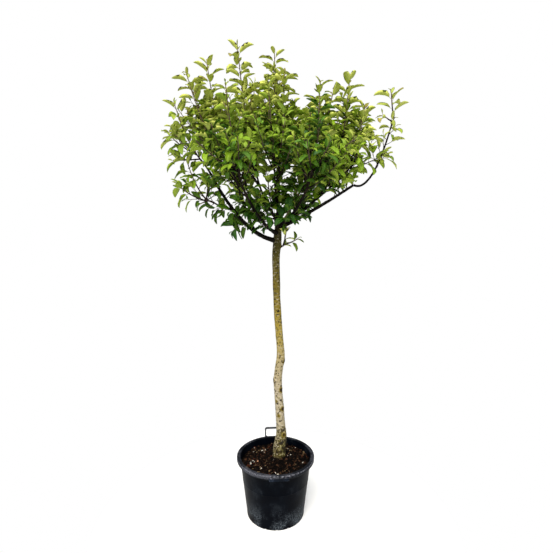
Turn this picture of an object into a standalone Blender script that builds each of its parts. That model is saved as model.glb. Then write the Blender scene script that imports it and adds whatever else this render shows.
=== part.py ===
"""A young grafted apple tree on a clear stem, in a black nursery pot.

Metres, +Z up. The origin is the middle of the pot's flat underside, and the
front of the tree is towards -Y. The pot carries two bails that swing in lugs
on its rim. The crown is trunk, boughs and masses of foliage, one object each.
"""

import math
import random

import bmesh
import bpy
import numpy as np
from mathutils import Matrix, Vector
from mathutils.bvhtree import BVHTree

GAP = 0.0003  # between pieces that touch

# The pot: a turned bucket with a flange, a lip and two handles
POT_HEIGHT = 0.310
RIM_RADIUS = 0.200
RIM_FLANGE = 0.017
LIP_DEPTH = 0.016
POT_WALL = 0.0025
POT_FLOOR = 0.004
WALL_RADIUS_TOP = RIM_RADIUS - RIM_FLANGE
WALL_RADIUS_FOOT = 0.148
FOOT_BEVEL = 0.006
POT_SIDES = 36
DRAIN_COUNT = 8
DRAIN_WIDTH = 0.014
DRAIN_HEIGHT = 0.007
DRAIN_DEPTH = 0.009
CUT_EXTRA = 0.002  # how far a cutter stands past the face it cuts

HANDLE_WIDTH = 0.085  # between the middles of its two legs
HANDLE_REACH = 0.051  # from the pins to the middle of the grip
HANDLE_THICK = 0.007
HANDLE_BROAD = 0.011
HANDLE_CORNER = 0.006
HANDLE_BEVEL = 0.0015
HANDLE_FEET = ((-0.0050, 0.5), (-0.0030, 0.85), (0.0, 1.0))  # height, share of the full breadth
PIN_RADIUS = 0.0025
PIN_SIDES = 12
PIN_LENGTH = 0.008
PIN_CLEARANCE = 0.0003
LUG_WIDTH = 0.0066
LUG_RADIUS = 0.0062
LUG_ROOT = 0.0043  # how far in from the edge of the rim it starts
PIN_AXIS_RADIUS = RIM_RADIUS + 0.0065
PIN_AXIS_HEIGHT = POT_HEIGHT - 0.008
# name, direction it lies in, and its lean outwards from upright, in degrees
HANDLES = (
    ("handle_front", -86.0, 63.0),
    ("handle_back", 94.0, 0.0),
)

# The compost: its surface lies below the rim, with a level seat for the trunk
COMPOST_HEIGHT = 0.280
COMPOST_SWELL = 0.004
COMPOST_RINGS = (0.50, 0.82)
TRUNK_FOOT = Vector((0.018, 0.020, 0.0))
SEAT_RADIUS = 0.048

# The trunk: height, sideways and forward place, and radius at each station
TRUNK_SIDES = 12
TRUNK_RING_STEP = 0.055
TRUNK_TOP = 1.560
TRUNK_STATIONS = (
    (COMPOST_HEIGHT + GAP, 0.018, 0.020, 0.0375),
    (0.310, 0.018, 0.020, 0.0335),
    (0.360, 0.023, 0.019, 0.0325),
    (0.414, 0.030, 0.017, 0.0280),
    (0.462, 0.027, 0.015, 0.0242),
    (0.616, 0.016, 0.010, 0.0220),
    (0.700, 0.011, 0.008, 0.0215),
    (0.768, 0.018, 0.007, 0.0212),
    (0.841, 0.026, 0.006, 0.0205),
    (0.918, 0.021, 0.005, 0.0190),
    (1.056, 0.011, 0.003, 0.0176),
    (1.182, 0.006, 0.001, 0.0170),
    (1.336, 0.004, 0.000, 0.0180),
    (1.420, 0.010, 0.000, 0.0205),
    (1.500, 0.014, 0.000, 0.0150),
    (TRUNK_TOP, 0.014, 0.000, 0.0105),
)

# The boughs: name, parent, where on the parent it leaves (a height on the
# trunk, a share of the length on a bough), end, sag of its middle below the
# straight line, radius at its foot and at its end
LIMB_SIDES = 6
LIMB_STEPS = 6
BOUGHS = (
    ("bough_left_low", "trunk", 1.412, (-0.310, -0.030, 1.730), 0.072, 0.0120, 0.0062),
    ("bough_left_mid", "bough_left_low", 0.27, (-0.185, 0.030, 1.680), 0.008, 0.0078, 0.0054),
    ("bough_left_under", "bough_left_low", 0.58, (-0.290, -0.065, 1.590), 0.006, 0.0052, 0.0038),
    ("bough_centre_left", "trunk", 1.505, (-0.055, -0.030, 1.620), 0.008, 0.0076, 0.0060),
    ("bough_leader", "trunk", None, (0.016, 0.005, 1.680), 0.002, 0.0098, 0.0075),
    ("bough_right_low", "trunk", 1.470, (0.373, -0.040, 1.677), 0.008, 0.0098, 0.0058),
    ("bough_right_tip", "bough_right_low", None, (0.5435, -0.050, 1.946), 0.088, 0.0054, 0.0036),
    ("bough_right_mid", "trunk", 1.504, (0.270, 0.050, 1.700), 0.036, 0.0092, 0.0058),
    ("bough_right_outer", "bough_right_mid", 0.66, (0.335, -0.010, 1.735), 0.006, 0.0050, 0.0038),
    ("bough_right_inner", "trunk", 1.528, (0.115, -0.055, 1.640), 0.008, 0.0074, 0.0058),
    ("bough_front_left", "trunk", 1.448, (-0.115, -0.190, 1.585), 0.026, 0.0090, 0.0062),
    ("bough_front_right", "trunk", 1.488, (0.125, -0.200, 1.610), 0.026, 0.0086, 0.0062),
    ("bough_front_mid", "trunk", 1.520, (0.000, -0.105, 1.650), 0.010, 0.0070, 0.0056),
    ("bough_back_left", "trunk", 1.446, (-0.125, 0.195, 1.610), 0.028, 0.0092, 0.0062),
    ("bough_back_right", "trunk", 1.482, (0.150, 0.185, 1.620), 0.028, 0.0090, 0.0062),
    ("bough_back_mid", "trunk", 1.516, (0.018, 0.110, 1.700), 0.010, 0.0074, 0.0058),
)

# The foliage: name, bough it grows on, middle of its space, and the ends of
# its leading shoots, which set the outline of the crown
MASSES = (
    ("foliage_left_far", "bough_left_low", (-0.46, -0.03, 1.93),
     ((-0.545, -0.03, 1.93), (-0.49, -0.02, 2.08), (-0.55, 0.01, 1.85))),
    ("foliage_left_high", "bough_left_mid", (-0.35, 0.05, 2.10),
     ((-0.42, 0.00, 2.19), (-0.315, 0.05, 2.26), (-0.36, 0.12, 2.10))),
    ("foliage_left_low", "bough_left_under", (-0.40, -0.06, 1.62),
     ((-0.48, -0.04, 1.68), (-0.37, -0.08, 1.55), (-0.41, -0.12, 1.70))),
    ("foliage_centre_left", "bough_centre_left", (-0.16, -0.02, 2.06),
     ((-0.18, 0.00, 2.335), (-0.10, -0.06, 2.12), (-0.24, -0.05, 2.06))),
    ("foliage_leader", "bough_leader", (0.02, 0.00, 2.08),
     ((-0.005, -0.02, 2.31), (0.08, 0.03, 2.15))),
    ("foliage_right_inner", "bough_right_inner", (0.19, -0.05, 1.98),
     ((0.215, 0.00, 2.16), (0.15, -0.10, 2.00))),
    ("foliage_right_high", "bough_right_mid", (0.36, 0.06, 2.00),
     ((0.355, 0.04, 2.185), (0.46, 0.04, 2.07), (0.36, 0.14, 2.05))),
    ("foliage_right_far", "bough_right_tip", (0.57, -0.05, 2.02),
     ((0.555, -0.05, 2.10),)),
    ("foliage_right_outer", "bough_right_outer", (0.42, -0.06, 1.84),
     ((0.46, -0.06, 1.93), (0.45, -0.02, 1.78), (0.37, -0.14, 1.88))),
    ("foliage_front_left", "bough_front_left", (-0.22, -0.33, 1.86),
     ((-0.33, -0.34, 1.86), (-0.20, -0.32, 2.04), (-0.14, -0.44, 1.80))),
    ("foliage_front_right", "bough_front_right", (0.22, -0.33, 1.86),
     ((0.33, -0.34, 1.83), (0.18, -0.32, 1.99), (0.12, -0.44, 1.79))),
    ("foliage_front_mid", "bough_front_mid", (-0.01, -0.24, 1.93),
     ((-0.03, -0.20, 2.09), (0.04, -0.30, 1.90))),
    ("foliage_back_left", "bough_back_left", (-0.24, 0.33, 1.94),
     ((-0.38, 0.34, 1.98), (-0.21, 0.32, 2.20), (-0.15, 0.45, 1.93))),
    ("foliage_back_right", "bough_back_right", (0.26, 0.33, 1.92),
     ((0.40, 0.33, 1.98), (0.23, 0.31, 2.12), (0.15, 0.45, 1.93))),
    ("foliage_back_mid", "bough_back_mid", (0.01, 0.22, 2.04),
     ((0.00, 0.18, 2.26), (0.06, 0.30, 2.08))),
    ("foliage_fork", "trunk", (-0.02, -0.15, 1.56),
     ((-0.13, -0.15, 1.56), (0.07, -0.19, 1.56), (-0.04, -0.19, 1.66))),
    ("foliage_sprout", "trunk", (0.10, -0.03, 1.42),
     ((0.145, -0.035, 1.415),)),
)
# Masses that start on the trunk itself: height, and direction in degrees
TRUNK_STEMS = {"foliage_fork": (1.470, -103.0), "foliage_sprout": (1.375, -14.0)}

# The rule of growth
STEM_RADIUS = 0.0042
SHOOT_RADIUS = 0.0034
TWIG_RADIUS = 0.0026
TIP_TAPER = 0.7
TWIG_SIDES = 3
STEM_STEPS = 3
SHOOT_STEPS = 3
TWIG_STEPS = 1
TWIG_PITCH = 0.110  # between side twigs along a shoot
TWIG_LENGTH = 0.105
TWIG_LIFT = 0.40
TWIG_ANGLE = math.radians(52)
TWIG_SPREAD = (0.75, 1.2)  # of their lengths
TWIG_FIRST = 0.22  # the shares of a shoot at which its twigs begin and end
TWIG_LAST = 0.72
LEAF_PITCH = 0.053  # between leaves along a shoot
LEAF_SPREAD = (0.82, 1.12)  # of their sizes
LEAF_FIRST_SHOOT = 0.06  # how far up a shoot or a twig its first leaf sits
LEAF_FIRST_TWIG = 0.035
END_LEAF_SIZE = 0.8
END_LEAF_LEAN = 0.6
LEAF_LENGTH = 0.104
LEAF_WIDTH = 0.060
LEAF_THICK = 0.0018
LEAF_FOLD = 0.007
LEAF_DROOP = 0.16
LEAF_ANGLE = math.radians(62)
LEAF_BLADE = 0.8  # the share of a leaf, from its tip, that touches nothing
LEAF_SINK = 0.0006  # how far its root lies past the middle of the twig
GOLDEN_ANGLE = math.radians(137.5)
HEIGHT_WEIGHT = 0.4  # spaces part less readily one above another
SPACE_MARGIN = 0.004
LIMB_MARGIN = 0.009
TURNS = (0.0, 1.0, -1.0, 2.0, -2.0, math.pi)


def clear_scene():
    """Remove the objects of the scene that Blender opens with."""
    for thing in list(bpy.data.objects):
        bpy.data.objects.remove(thing, do_unlink=True)


def make_material(name, colour, roughness):
    """A Principled BSDF with one linear colour."""
    material = bpy.data.materials.new(name)
    material.use_nodes = True
    shader = material.node_tree.nodes["Principled BSDF"]
    shader.inputs["Base Color"].default_value = (*colour, 1.0)
    shader.inputs["Roughness"].default_value = roughness
    shader.inputs["Metallic"].default_value = 0.0
    return material


def add_object(name, vertices, faces, material=None):
    """A closed mesh object with its faces pointing out."""
    mesh = bpy.data.meshes.new(name)
    mesh.from_pydata([tuple(v) for v in vertices], [], faces)
    work = bmesh.new()
    work.from_mesh(mesh)
    bmesh.ops.recalc_face_normals(work, faces=work.faces)
    work.to_mesh(mesh)
    work.free()
    thing = bpy.data.objects.new(name, mesh)
    bpy.context.scene.collection.objects.link(thing)
    if material:
        mesh.materials.append(material)
    return thing


def hide_tool(thing):
    """Mark a cutter: drawn as wire, and no part of the model."""
    thing.hide_render = True
    thing.display_type = "WIRE"


def boolean(target, tool, operation):
    """Leave a live Boolean modifier on the target."""
    modifier = target.modifiers.new(operation.lower(), "BOOLEAN")
    modifier.operation = operation
    modifier.solver = "EXACT"
    modifier.object = tool


def evaluated_copy(thing):
    """The mesh of an object with its modifiers applied."""
    graph = bpy.context.evaluated_depsgraph_get()
    return bpy.data.meshes.new_from_object(thing.evaluated_get(graph))


def shade(thing, angle=40.0):
    """Smooth shading, with the sharper edges kept."""
    thing.data.shade_smooth()
    thing.data.set_sharp_from_angle(angle=math.radians(angle))


def turned_solid(profile, sides):
    """Turn a profile of (radius, height) about Z; its ends lie on the axis."""
    vertices = [Vector((0, 0, profile[0][1])), Vector((0, 0, profile[-1][1]))]
    rings = []
    for radius, height in profile[1:-1]:
        rings.append(range(len(vertices), len(vertices) + sides))
        for k in range(sides):
            angle = 2 * math.pi * k / sides
            vertices.append(Vector((radius * math.cos(angle), radius * math.sin(angle), height)))
    faces = []
    for k in range(sides):
        n = (k + 1) % sides
        faces.append((0, rings[0][k], rings[0][n]))
        faces.append((1, rings[-1][n], rings[-1][k]))
        for low, high in zip(rings, rings[1:]):
            faces.append((low[k], high[k], high[n], low[n]))
    return vertices, faces


def path_frames(points, first=None):
    """Direction of a path at each point, and a vector across it.

    The vector across is carried along by the smallest turn, so that a tube
    built on it never twists. `first` sets the direction at the first point.
    """
    ways = [(b - a).normalized() for a, b in zip(points, points[1:])]
    tangents = [Vector(first) if first else ways[0]]
    tangents += [(a + b).normalized() for a, b in zip(ways, ways[1:])]
    tangents.append(ways[-1])
    across = Vector((1, 0, 0)) if abs(tangents[0].z) > 0.99 else tangents[0].orthogonal().normalized()
    carried = []
    for k, tangent in enumerate(tangents):
        if k:
            across = tangents[k - 1].rotation_difference(tangent) @ across
        across = (across - tangent * across.dot(tangent)).normalized()
        carried.append(across)
    return tangents, carried


def tube(points, radii, sides, first=None):
    """A closed tapering tube along a path: rings square to it, and flat ends."""
    tangents, carried = path_frames(points, first)
    vertices = []
    for point, tangent, across, radius in zip(points, tangents, carried, radii):
        up = tangent.cross(across)
        for x, y in circle(radius, sides):
            vertices.append(point + across * x + up * y)
    last = (len(points) - 1) * sides
    faces = [tuple(range(sides)), tuple(range(last, last + sides))]
    for k in range(len(points) - 1):
        for j in range(sides):
            n = (j + 1) % sides
            faces.append((k * sides + j, k * sides + n, (k + 1) * sides + n, (k + 1) * sides + j))
    return vertices, faces


def polar_frame(azimuth, radius, height):
    """A frame on the rim: X along the rim, Y towards the axis, Z up."""
    angle = math.radians(azimuth)
    outward = Vector((math.cos(angle), math.sin(angle), 0))
    along = Vector((-math.sin(angle), math.cos(angle), 0))
    frame = Matrix((along, -outward, Vector((0, 0, 1)))).transposed().to_4x4()
    return Matrix.Translation(outward * radius + Vector((0, 0, height))) @ frame


def prism(outline, start, end, frame):
    """An outline in the frame's YZ plane, drawn out along its X axis."""
    count = len(outline)
    vertices = [frame @ Vector((x, y, z)) for x in (start, end) for y, z in outline]
    faces = [tuple(range(count)), tuple(range(count, 2 * count))]
    faces += [(k, (k + 1) % count, count + (k + 1) % count, count + k) for k in range(count)]
    return vertices, faces


def circle(radius, sides, start=0.0, sweep=2 * math.pi):
    """Points on an arc; a full circle leaves out the repeated last point."""
    steps = sides if sweep >= 2 * math.pi else sides - 1
    return [(radius * math.cos(start + sweep * k / steps), radius * math.sin(start + sweep * k / steps))
            for k in range(sides)]


def join_parts(parts):
    """Put several (vertices, faces) into one list."""
    vertices = []
    faces = []
    for part_vertices, part_faces in parts:
        offset = len(vertices)
        vertices += part_vertices
        faces += [tuple(offset + k for k in face) for face in part_faces]
    return vertices, faces


def pot_profile():
    """Half the pot's section, from the middle of its floor round to its underside."""
    inner_foot = WALL_RADIUS_FOOT - POT_WALL
    return [
        (0, POT_FLOOR),
        (inner_foot - FOOT_BEVEL, POT_FLOOR),
        (inner_foot, POT_FLOOR + FOOT_BEVEL),
        (WALL_RADIUS_TOP - POT_WALL, POT_HEIGHT - POT_WALL),
        (WALL_RADIUS_TOP - POT_WALL, POT_HEIGHT),
        (RIM_RADIUS - 0.001, POT_HEIGHT),
        (RIM_RADIUS, POT_HEIGHT - 0.001),
        (RIM_RADIUS - 0.0005, POT_HEIGHT - LIP_DEPTH),
        (RIM_RADIUS - POT_WALL, POT_HEIGHT - LIP_DEPTH),
        (RIM_RADIUS - POT_WALL, POT_HEIGHT - POT_WALL),
        (WALL_RADIUS_TOP, POT_HEIGHT - POT_WALL),
        (WALL_RADIUS_FOOT + 0.001, 2 * FOOT_BEVEL),
        (WALL_RADIUS_FOOT, FOOT_BEVEL),
        (WALL_RADIUS_FOOT - FOOT_BEVEL, 0),
        (0, 0),
    ]


def lug_places():
    """The two lugs of each handle: frame, and the span of each along the rim."""
    inner = HANDLE_WIDTH / 2 - HANDLE_THICK / 2 - GAP
    for _, azimuth, _ in HANDLES:
        frame = polar_frame(azimuth, PIN_AXIS_RADIUS, PIN_AXIS_HEIGHT)
        for side in (-1, 1):
            yield frame, side * inner, side * (inner - LUG_WIDTH)


def make_pot(material):
    """The pot, with its lugs joined on and its bores and drain slots cut."""
    pot = add_object("pot", *turned_solid(pot_profile(), POT_SIDES), material)
    root = PIN_AXIS_RADIUS - RIM_RADIUS + LUG_ROOT
    lug = circle(LUG_RADIUS, 9, math.pi / 2, math.pi) + [(root, -LUG_RADIUS), (root, LUG_RADIUS)]
    bore = circle(PIN_RADIUS + PIN_CLEARANCE, PIN_SIDES)
    slot = [(-2 * CUT_EXTRA, -CUT_EXTRA), (-2 * CUT_EXTRA, DRAIN_HEIGHT),
            (DRAIN_DEPTH, DRAIN_HEIGHT), (DRAIN_DEPTH, -CUT_EXTRA)]
    lugs = []
    cuts = []
    for frame, start, end in lug_places():
        over = math.copysign(CUT_EXTRA, start)
        lugs.append(prism(lug, start, end, frame))
        cuts.append(prism(bore, start + over, end - over, frame))
    for k in range(DRAIN_COUNT):
        frame = polar_frame(360 * (k + 0.5) / DRAIN_COUNT, WALL_RADIUS_FOOT, 0)
        cuts.append(prism(slot, -DRAIN_WIDTH / 2, DRAIN_WIDTH / 2, frame))
    lug_tool = add_object("tool_lugs", *join_parts(lugs))
    cut_tool = add_object("tool_cuts", *join_parts(cuts))
    for tool, operation in ((lug_tool, "UNION"), (cut_tool, "DIFFERENCE")):
        boolean(pot, tool, operation)
        hide_tool(tool)
    shade(pot)
    return pot


def handle_rings():
    """The middle line of a bail with its size across, from foot to foot."""
    half = HANDLE_WIDTH / 2
    rings = [((half, height), size) for height, size in HANDLE_FEET]
    for x, z in circle(HANDLE_CORNER, 4, 0, math.pi / 2):
        rings.append(((half - HANDLE_CORNER + x, HANDLE_REACH - HANDLE_CORNER + z), 1.0))
    return rings + [((-x, z), size) for (x, z), size in reversed(rings)]


def make_handle(name, azimuth, lean, material):
    """A bail on its two pins, with its origin on the pins' axis."""
    rings = handle_rings()
    centres = [Vector((x, 0, z)) for (x, z), _ in rings]
    ways = [(b - a).normalized() for a, b in zip(centres, centres[1:])]
    tangents = [ways[0]] + [(a + b).normalized() for a, b in zip(ways, ways[1:])] + [ways[-1]]
    edge = HANDLE_THICK / 2
    broad = HANDLE_BROAD / 2
    cut = HANDLE_BEVEL
    section = [(edge, broad - cut), (edge - cut, broad), (cut - edge, broad), (-edge, broad - cut),
               (-edge, cut - broad), (cut - edge, -broad), (edge - cut, -broad), (edge, cut - broad)]
    vertices = []
    for centre, tangent, (_, size) in zip(centres, tangents, rings):
        side = tangent.cross(Vector((0, 1, 0)))
        vertices += [centre + side * a + Vector((0, b * size, 0)) for a, b in section]
    count = len(section)
    last = len(vertices) - count
    faces = [tuple(range(count)), tuple(range(last, last + count))]
    for k in range(len(rings) - 1):
        for j in range(count):
            n = (j + 1) % count
            faces.append((k * count + j, k * count + n, (k + 1) * count + n, (k + 1) * count + j))
    handle = add_object(name, vertices, faces, material)
    pins = []
    for side in (-1, 1):
        outline = circle(PIN_RADIUS, PIN_SIDES)
        foot = side * HANDLE_WIDTH / 2
        tip = foot - side * (HANDLE_THICK / 2 + PIN_LENGTH)
        pins.append(prism(outline, foot, tip, Matrix.Identity(4)))
    pin_tool = add_object("tool_pins_" + name, *join_parts(pins))
    place = polar_frame(azimuth, PIN_AXIS_RADIUS, PIN_AXIS_HEIGHT)
    place = place @ Matrix.Rotation(math.radians(lean), 4, "X")
    for thing in (handle, pin_tool):
        thing.matrix_world = place
    boolean(handle, pin_tool, "UNION")
    hide_tool(pin_tool)
    shade(handle)
    return handle


def compost_top(x, y):
    """Height of the compost: a few low swells, level where the trunk stands."""
    swell = math.sin(21 * x + 1.0) * math.cos(17 * y - 0.6) + 0.5 * math.sin(43 * x - 31 * y)
    away = math.hypot(x - TRUNK_FOOT.x, y - TRUNK_FOOT.y) / SEAT_RADIUS - 1
    return COMPOST_HEIGHT + COMPOST_SWELL * swell / 1.5 * min(1.0, max(0.0, away))


def make_compost(material):
    """The compost: clear of the wall all round, and flat under the trunk."""
    foot = WALL_RADIUS_FOOT - POT_WALL - GAP
    slope = (WALL_RADIUS_TOP - WALL_RADIUS_FOOT) / (POT_HEIGHT - POT_WALL - POT_FLOOR - FOOT_BEVEL)
    base = POT_FLOOR + GAP
    edge_height = COMPOST_HEIGHT - 2 * COMPOST_SWELL
    edge = foot + slope * (edge_height - POT_FLOOR - FOOT_BEVEL) - GAP
    profile = [(0, base), (foot - FOOT_BEVEL - GAP, base), (foot - GAP, POT_FLOOR + FOOT_BEVEL), (edge, edge_height)]
    seat = [(SEAT_RADIUS, COMPOST_HEIGHT)]
    rings = [(edge * share, COMPOST_HEIGHT) for share in reversed(COMPOST_RINGS)]
    vertices, faces = turned_solid(profile + rings + seat + [(0, COMPOST_HEIGHT)], POT_SIDES)
    for v in vertices:
        if v.z == COMPOST_HEIGHT:
            near = 1 - min(1.0, v.xy.length / edge)
            v.x += TRUNK_FOOT.x * near
            v.y += TRUNK_FOOT.y * near
            v.z = compost_top(v.x, v.y)
    compost = add_object("compost", vertices, faces, material)
    shade(compost, 60)
    return compost


def trunk_at(height):
    """Middle and radius of the trunk at a height, eased between stations."""
    rows = TRUNK_STATIONS
    height = min(max(height, rows[0][0]), rows[-1][0])
    k = max(i for i in range(len(rows) - 1) if rows[i][0] <= height)
    here, there = rows[k], rows[k + 1]
    before, after = rows[max(k - 1, 0)], rows[min(k + 2, len(rows) - 1)]
    span = there[0] - here[0]
    t = (height - here[0]) / span
    values = []
    for c in (1, 2, 3):
        leave = span * (there[c] - before[c]) / (there[0] - before[0])
        arrive = span * (after[c] - here[c]) / (after[0] - here[0])
        rise = 3 * t * t - 2 * t ** 3
        values.append(here[c] + (there[c] - here[c]) * rise
                      + leave * (t ** 3 - 2 * t * t + t) + arrive * (t ** 3 - t * t))
    return Vector((values[0], values[1], height)), values[2]


def trunk_path():
    """Points and radii up the trunk, closer together at its flare."""
    bottom = TRUNK_STATIONS[0][0]
    flare = [bottom, bottom + 0.008, bottom + 0.022]
    count = round((TRUNK_TOP - 0.32) / TRUNK_RING_STEP)
    heights = flare + [0.32 + (TRUNK_TOP - 0.32) * k / count for k in range(count + 1)]
    rows = [trunk_at(height) for height in heights]
    return [row[0] for row in rows], [row[1] for row in rows]


def along_path(points, radii, share):
    """Point, direction and radius at a share of a path's length."""
    steps = [(b - a).length for a, b in zip(points, points[1:])]
    left = share * sum(steps)
    for k, step in enumerate(steps):
        if left <= step or k == len(steps) - 1:
            t = min(left / step, 1.0)
            way = (points[k + 1] - points[k]).normalized()
            return points[k].lerp(points[k + 1], t), way, radii[k] + (radii[k + 1] - radii[k]) * t
        left -= step


def end_way(points):
    """Direction of a path at its last point."""
    return (points[-1] - points[-2]).normalized()


def bough_paths(trunk):
    """Path and radii of every limb, by name, worked out from parent to child."""
    paths = {"trunk": trunk}
    for name, parent, leave, end, sag, foot_radius, end_radius in BOUGHS:
        points, radii = paths[parent]
        if leave is None:
            start = points[-1] + end_way(points) * GAP
        elif parent == "trunk":
            start = trunk_at(leave)[0]
        else:
            start = along_path(points, radii, leave)[0]
        end = Vector(end)
        path = []
        taper = []
        for k in range(LIMB_STEPS + 1):
            t = k / LIMB_STEPS
            path.append(start.lerp(end, t) - Vector((0, 0, sag * 4 * t * (1 - t))))
            taper.append(foot_radius + (end_radius - foot_radius) * t)
        paths[name] = (path, taper)
    return paths


def make_limbs(paths, bark, young_bark):
    """The trunk, and each bough with its foot cut to fit its parent."""
    points, radii = paths["trunk"]
    limbs = {"trunk": add_object("trunk", *tube(points, radii, TRUNK_SIDES, (0, 0, 1)), bark)}
    for name, parent, leave, *_ in BOUGHS:
        points, radii = paths[name]
        first = end_way(paths[parent][0]) if leave is None else None
        limbs[name] = add_object(name, *tube(points, radii, LIMB_SIDES, first), young_bark)
        if leave is not None:
            tool_name = "tool_" + parent
            if tool_name not in bpy.data.objects:
                path, taper = paths[parent]
                sides = TRUNK_SIDES if parent == "trunk" else LIMB_SIDES
                way = (0, 0, 1) if parent == "trunk" else None
                wide = [radius + GAP / math.cos(math.pi / sides) for radius in taper]
                hide_tool(add_object(tool_name, *tube(path, wide, sides, way)))
            boolean(limbs[name], bpy.data.objects[tool_name], "DIFFERENCE")
    for limb in limbs.values():
        shade(limb)
    return limbs


class Crown:
    """What each twig and leaf has to keep clear of."""

    def __init__(self, paths):
        self.owners = []
        self.points = []
        self.radii = []
        self.grown = {}
        for name, (points, radii) in paths.items():
            self.add_limb(name, points, radii)

    def add_limb(self, owner, points, radii):
        """Remember a limb as points some 8 mm apart."""
        for k in range(len(points) - 1):
            count = max(1, math.ceil((points[k + 1] - points[k]).length / 0.008))
            for j in range(count):
                t = j / count
                self.owners.append(owner)
                self.points.append(tuple(points[k].lerp(points[k + 1], t)))
                self.radii.append(radii[k] + (radii[k + 1] - radii[k]) * t)

    def keep(self, owner, vertices, faces):
        """Remember a piece that has grown, for the later ones to miss."""
        self.grown.setdefault(owner, []).append(BVHTree.FromPolygons(vertices, faces))

    def misses(self, owner, vertices, faces):
        """True if a piece touches nothing that its own mass has grown."""
        tree = BVHTree.FromPolygons(vertices, faces)
        return not any(tree.overlap(other) for other in self.grown.get(owner, []))

    def clear(self, owner, samples, margin):
        """True if no sample lies within the margin of another's limb."""
        others = np.array([name != owner for name in self.owners])
        points = np.array(self.points)[others]
        radii = np.array(self.radii)[others]
        samples = np.array([tuple(s) for s in samples])
        apart = np.linalg.norm(samples[:, None, :] - points[None, :, :], axis=2)
        return bool(((apart - radii[None, :]) > margin).all())

    def within(self, owner, samples):
        """True if every sample lies in the owner's own space.

        A space is what lies nearer to the middle of this mass than to the
        middle of any other, with heights counted less.
        """
        weigh = np.array([1.0, 1.0, HEIGHT_WEIGHT])
        middles = {name: np.array(middle) * weigh for name, _, middle, _ in MASSES}
        own = middles.pop(owner)
        samples = np.array([tuple(s) for s in samples]) * weigh
        for other in middles.values():
            way = (other - own) / np.linalg.norm(other - own)
            if (((samples - (own + other) / 2) @ way) > -SPACE_MARGIN).any():
                return False
        return True


def curve_up(start, end, share=0.55, lift=0.28, steps=SHOOT_STEPS):
    """Points from start to end that run outwards first and then upwards."""
    way = end - start
    bend = start + Vector((way.x * share, way.y * share, way.z * lift))
    points = []
    for k in range(steps + 1):
        t = k / steps
        points.append(start * (1 - t) ** 2 + bend * (2 * t * (1 - t)) + end * t * t)
    return points


def taper(radius, count):
    """Radii that shrink evenly to the share that a tip keeps."""
    return [radius * (1 - (1 - TIP_TAPER) * k / (count - 1)) for k in range(count)]


def leaf_solid(root, along, up, size):
    """A folded blade of 8 faces: its root and tip, two edges and a keel."""
    length = LEAF_LENGTH * size
    width = LEAF_WIDTH * size
    side = along.cross(up)
    middle = root + along * (0.45 * length)
    tip = root + along * length - up * (LEAF_DROOP * length)
    edges = [middle + side * (sign * width / 2) + up * LEAF_FOLD for sign in (-1, 1)]
    keel = [middle + up * (sign * LEAF_THICK / 2) for sign in (-1, 1)]
    vertices = [root, tip, edges[0], keel[0], edges[1], keel[1]]
    faces = [(end, 2 + k, 2 + (k + 1) % 4) for end in (0, 1) for k in range(4)]
    return vertices, faces


def leaf_samples(vertices):
    """Points over a leaf, from a little off its root to its tip and edges."""
    base, tip, left, _, right, keel = vertices
    samples = [tip, left, right, keel, (tip + left) / 2, (tip + right) / 2, (tip + keel) / 2]
    samples += [base.lerp(end, share) for end in (left, keel, right) for share in (0.35, 0.7)]
    return samples


def side_ways(path, share):
    """Place and direction on a twig, and the ways out through its three sides."""
    place, way, _ = along_path(path, [0] * len(path), share)
    _, carried = path_frames(path)
    lengths = [(b - a).length for a, b in zip(path, path[1:])]
    k = 0
    while k < len(lengths) - 1 and sum(lengths[:k + 1]) < share * sum(lengths):
        k += 1
    across = (carried[k] - way * carried[k].dot(way)).normalized()
    outs = []
    for j in range(TWIG_SIDES):
        angle = 2 * math.pi * (j + 0.5) / TWIG_SIDES
        outs.append(across * math.cos(angle) + way.cross(across) * math.sin(angle))
    return place, way, outs


def grow_leaves(crown, owner, path, rng, first):
    """Leaves set round a twig: each leaves through the next side that has room."""
    length = sum((b - a).length for a, b in zip(path, path[1:]))
    count = max(1, round((length - first) / LEAF_PITCH))
    turn = rng.randrange(TWIG_SIDES)
    leaves = []
    for k in range(count + 1):
        share = (first + (length - first) * k / count) / length
        place, way, outs = side_ways(path, min(share, 0.97))
        size = rng.uniform(*LEAF_SPREAD) * (END_LEAF_SIZE if k == count else 1.0)
        lean = LEAF_ANGLE * (END_LEAF_LEAN if k == count else 1.0)
        turn += 1
        for extra in range(TWIG_SIDES):
            around = outs[(turn + extra) % TWIG_SIDES]
            along = (way * math.cos(lean) + around * math.sin(lean)).normalized()
            up = Vector((0, 0, 1)) - along * along.z
            up = up.normalized() if up.length > 0.2 else -around
            up = (up - along * along.dot(up)).normalized()
            vertices, faces = leaf_solid(place - along * LEAF_SINK, along, up, size)
            samples = leaf_samples(vertices)
            if not crown.within(owner, samples) or not crown.clear(owner, samples, LIMB_MARGIN):
                continue
            blade = [vertices[1].lerp(v, LEAF_BLADE) for v in vertices]
            if crown.misses(owner, blade, faces):
                crown.keep(owner, vertices, faces)
                leaves.append((vertices, faces))
                break
    return leaves


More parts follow.
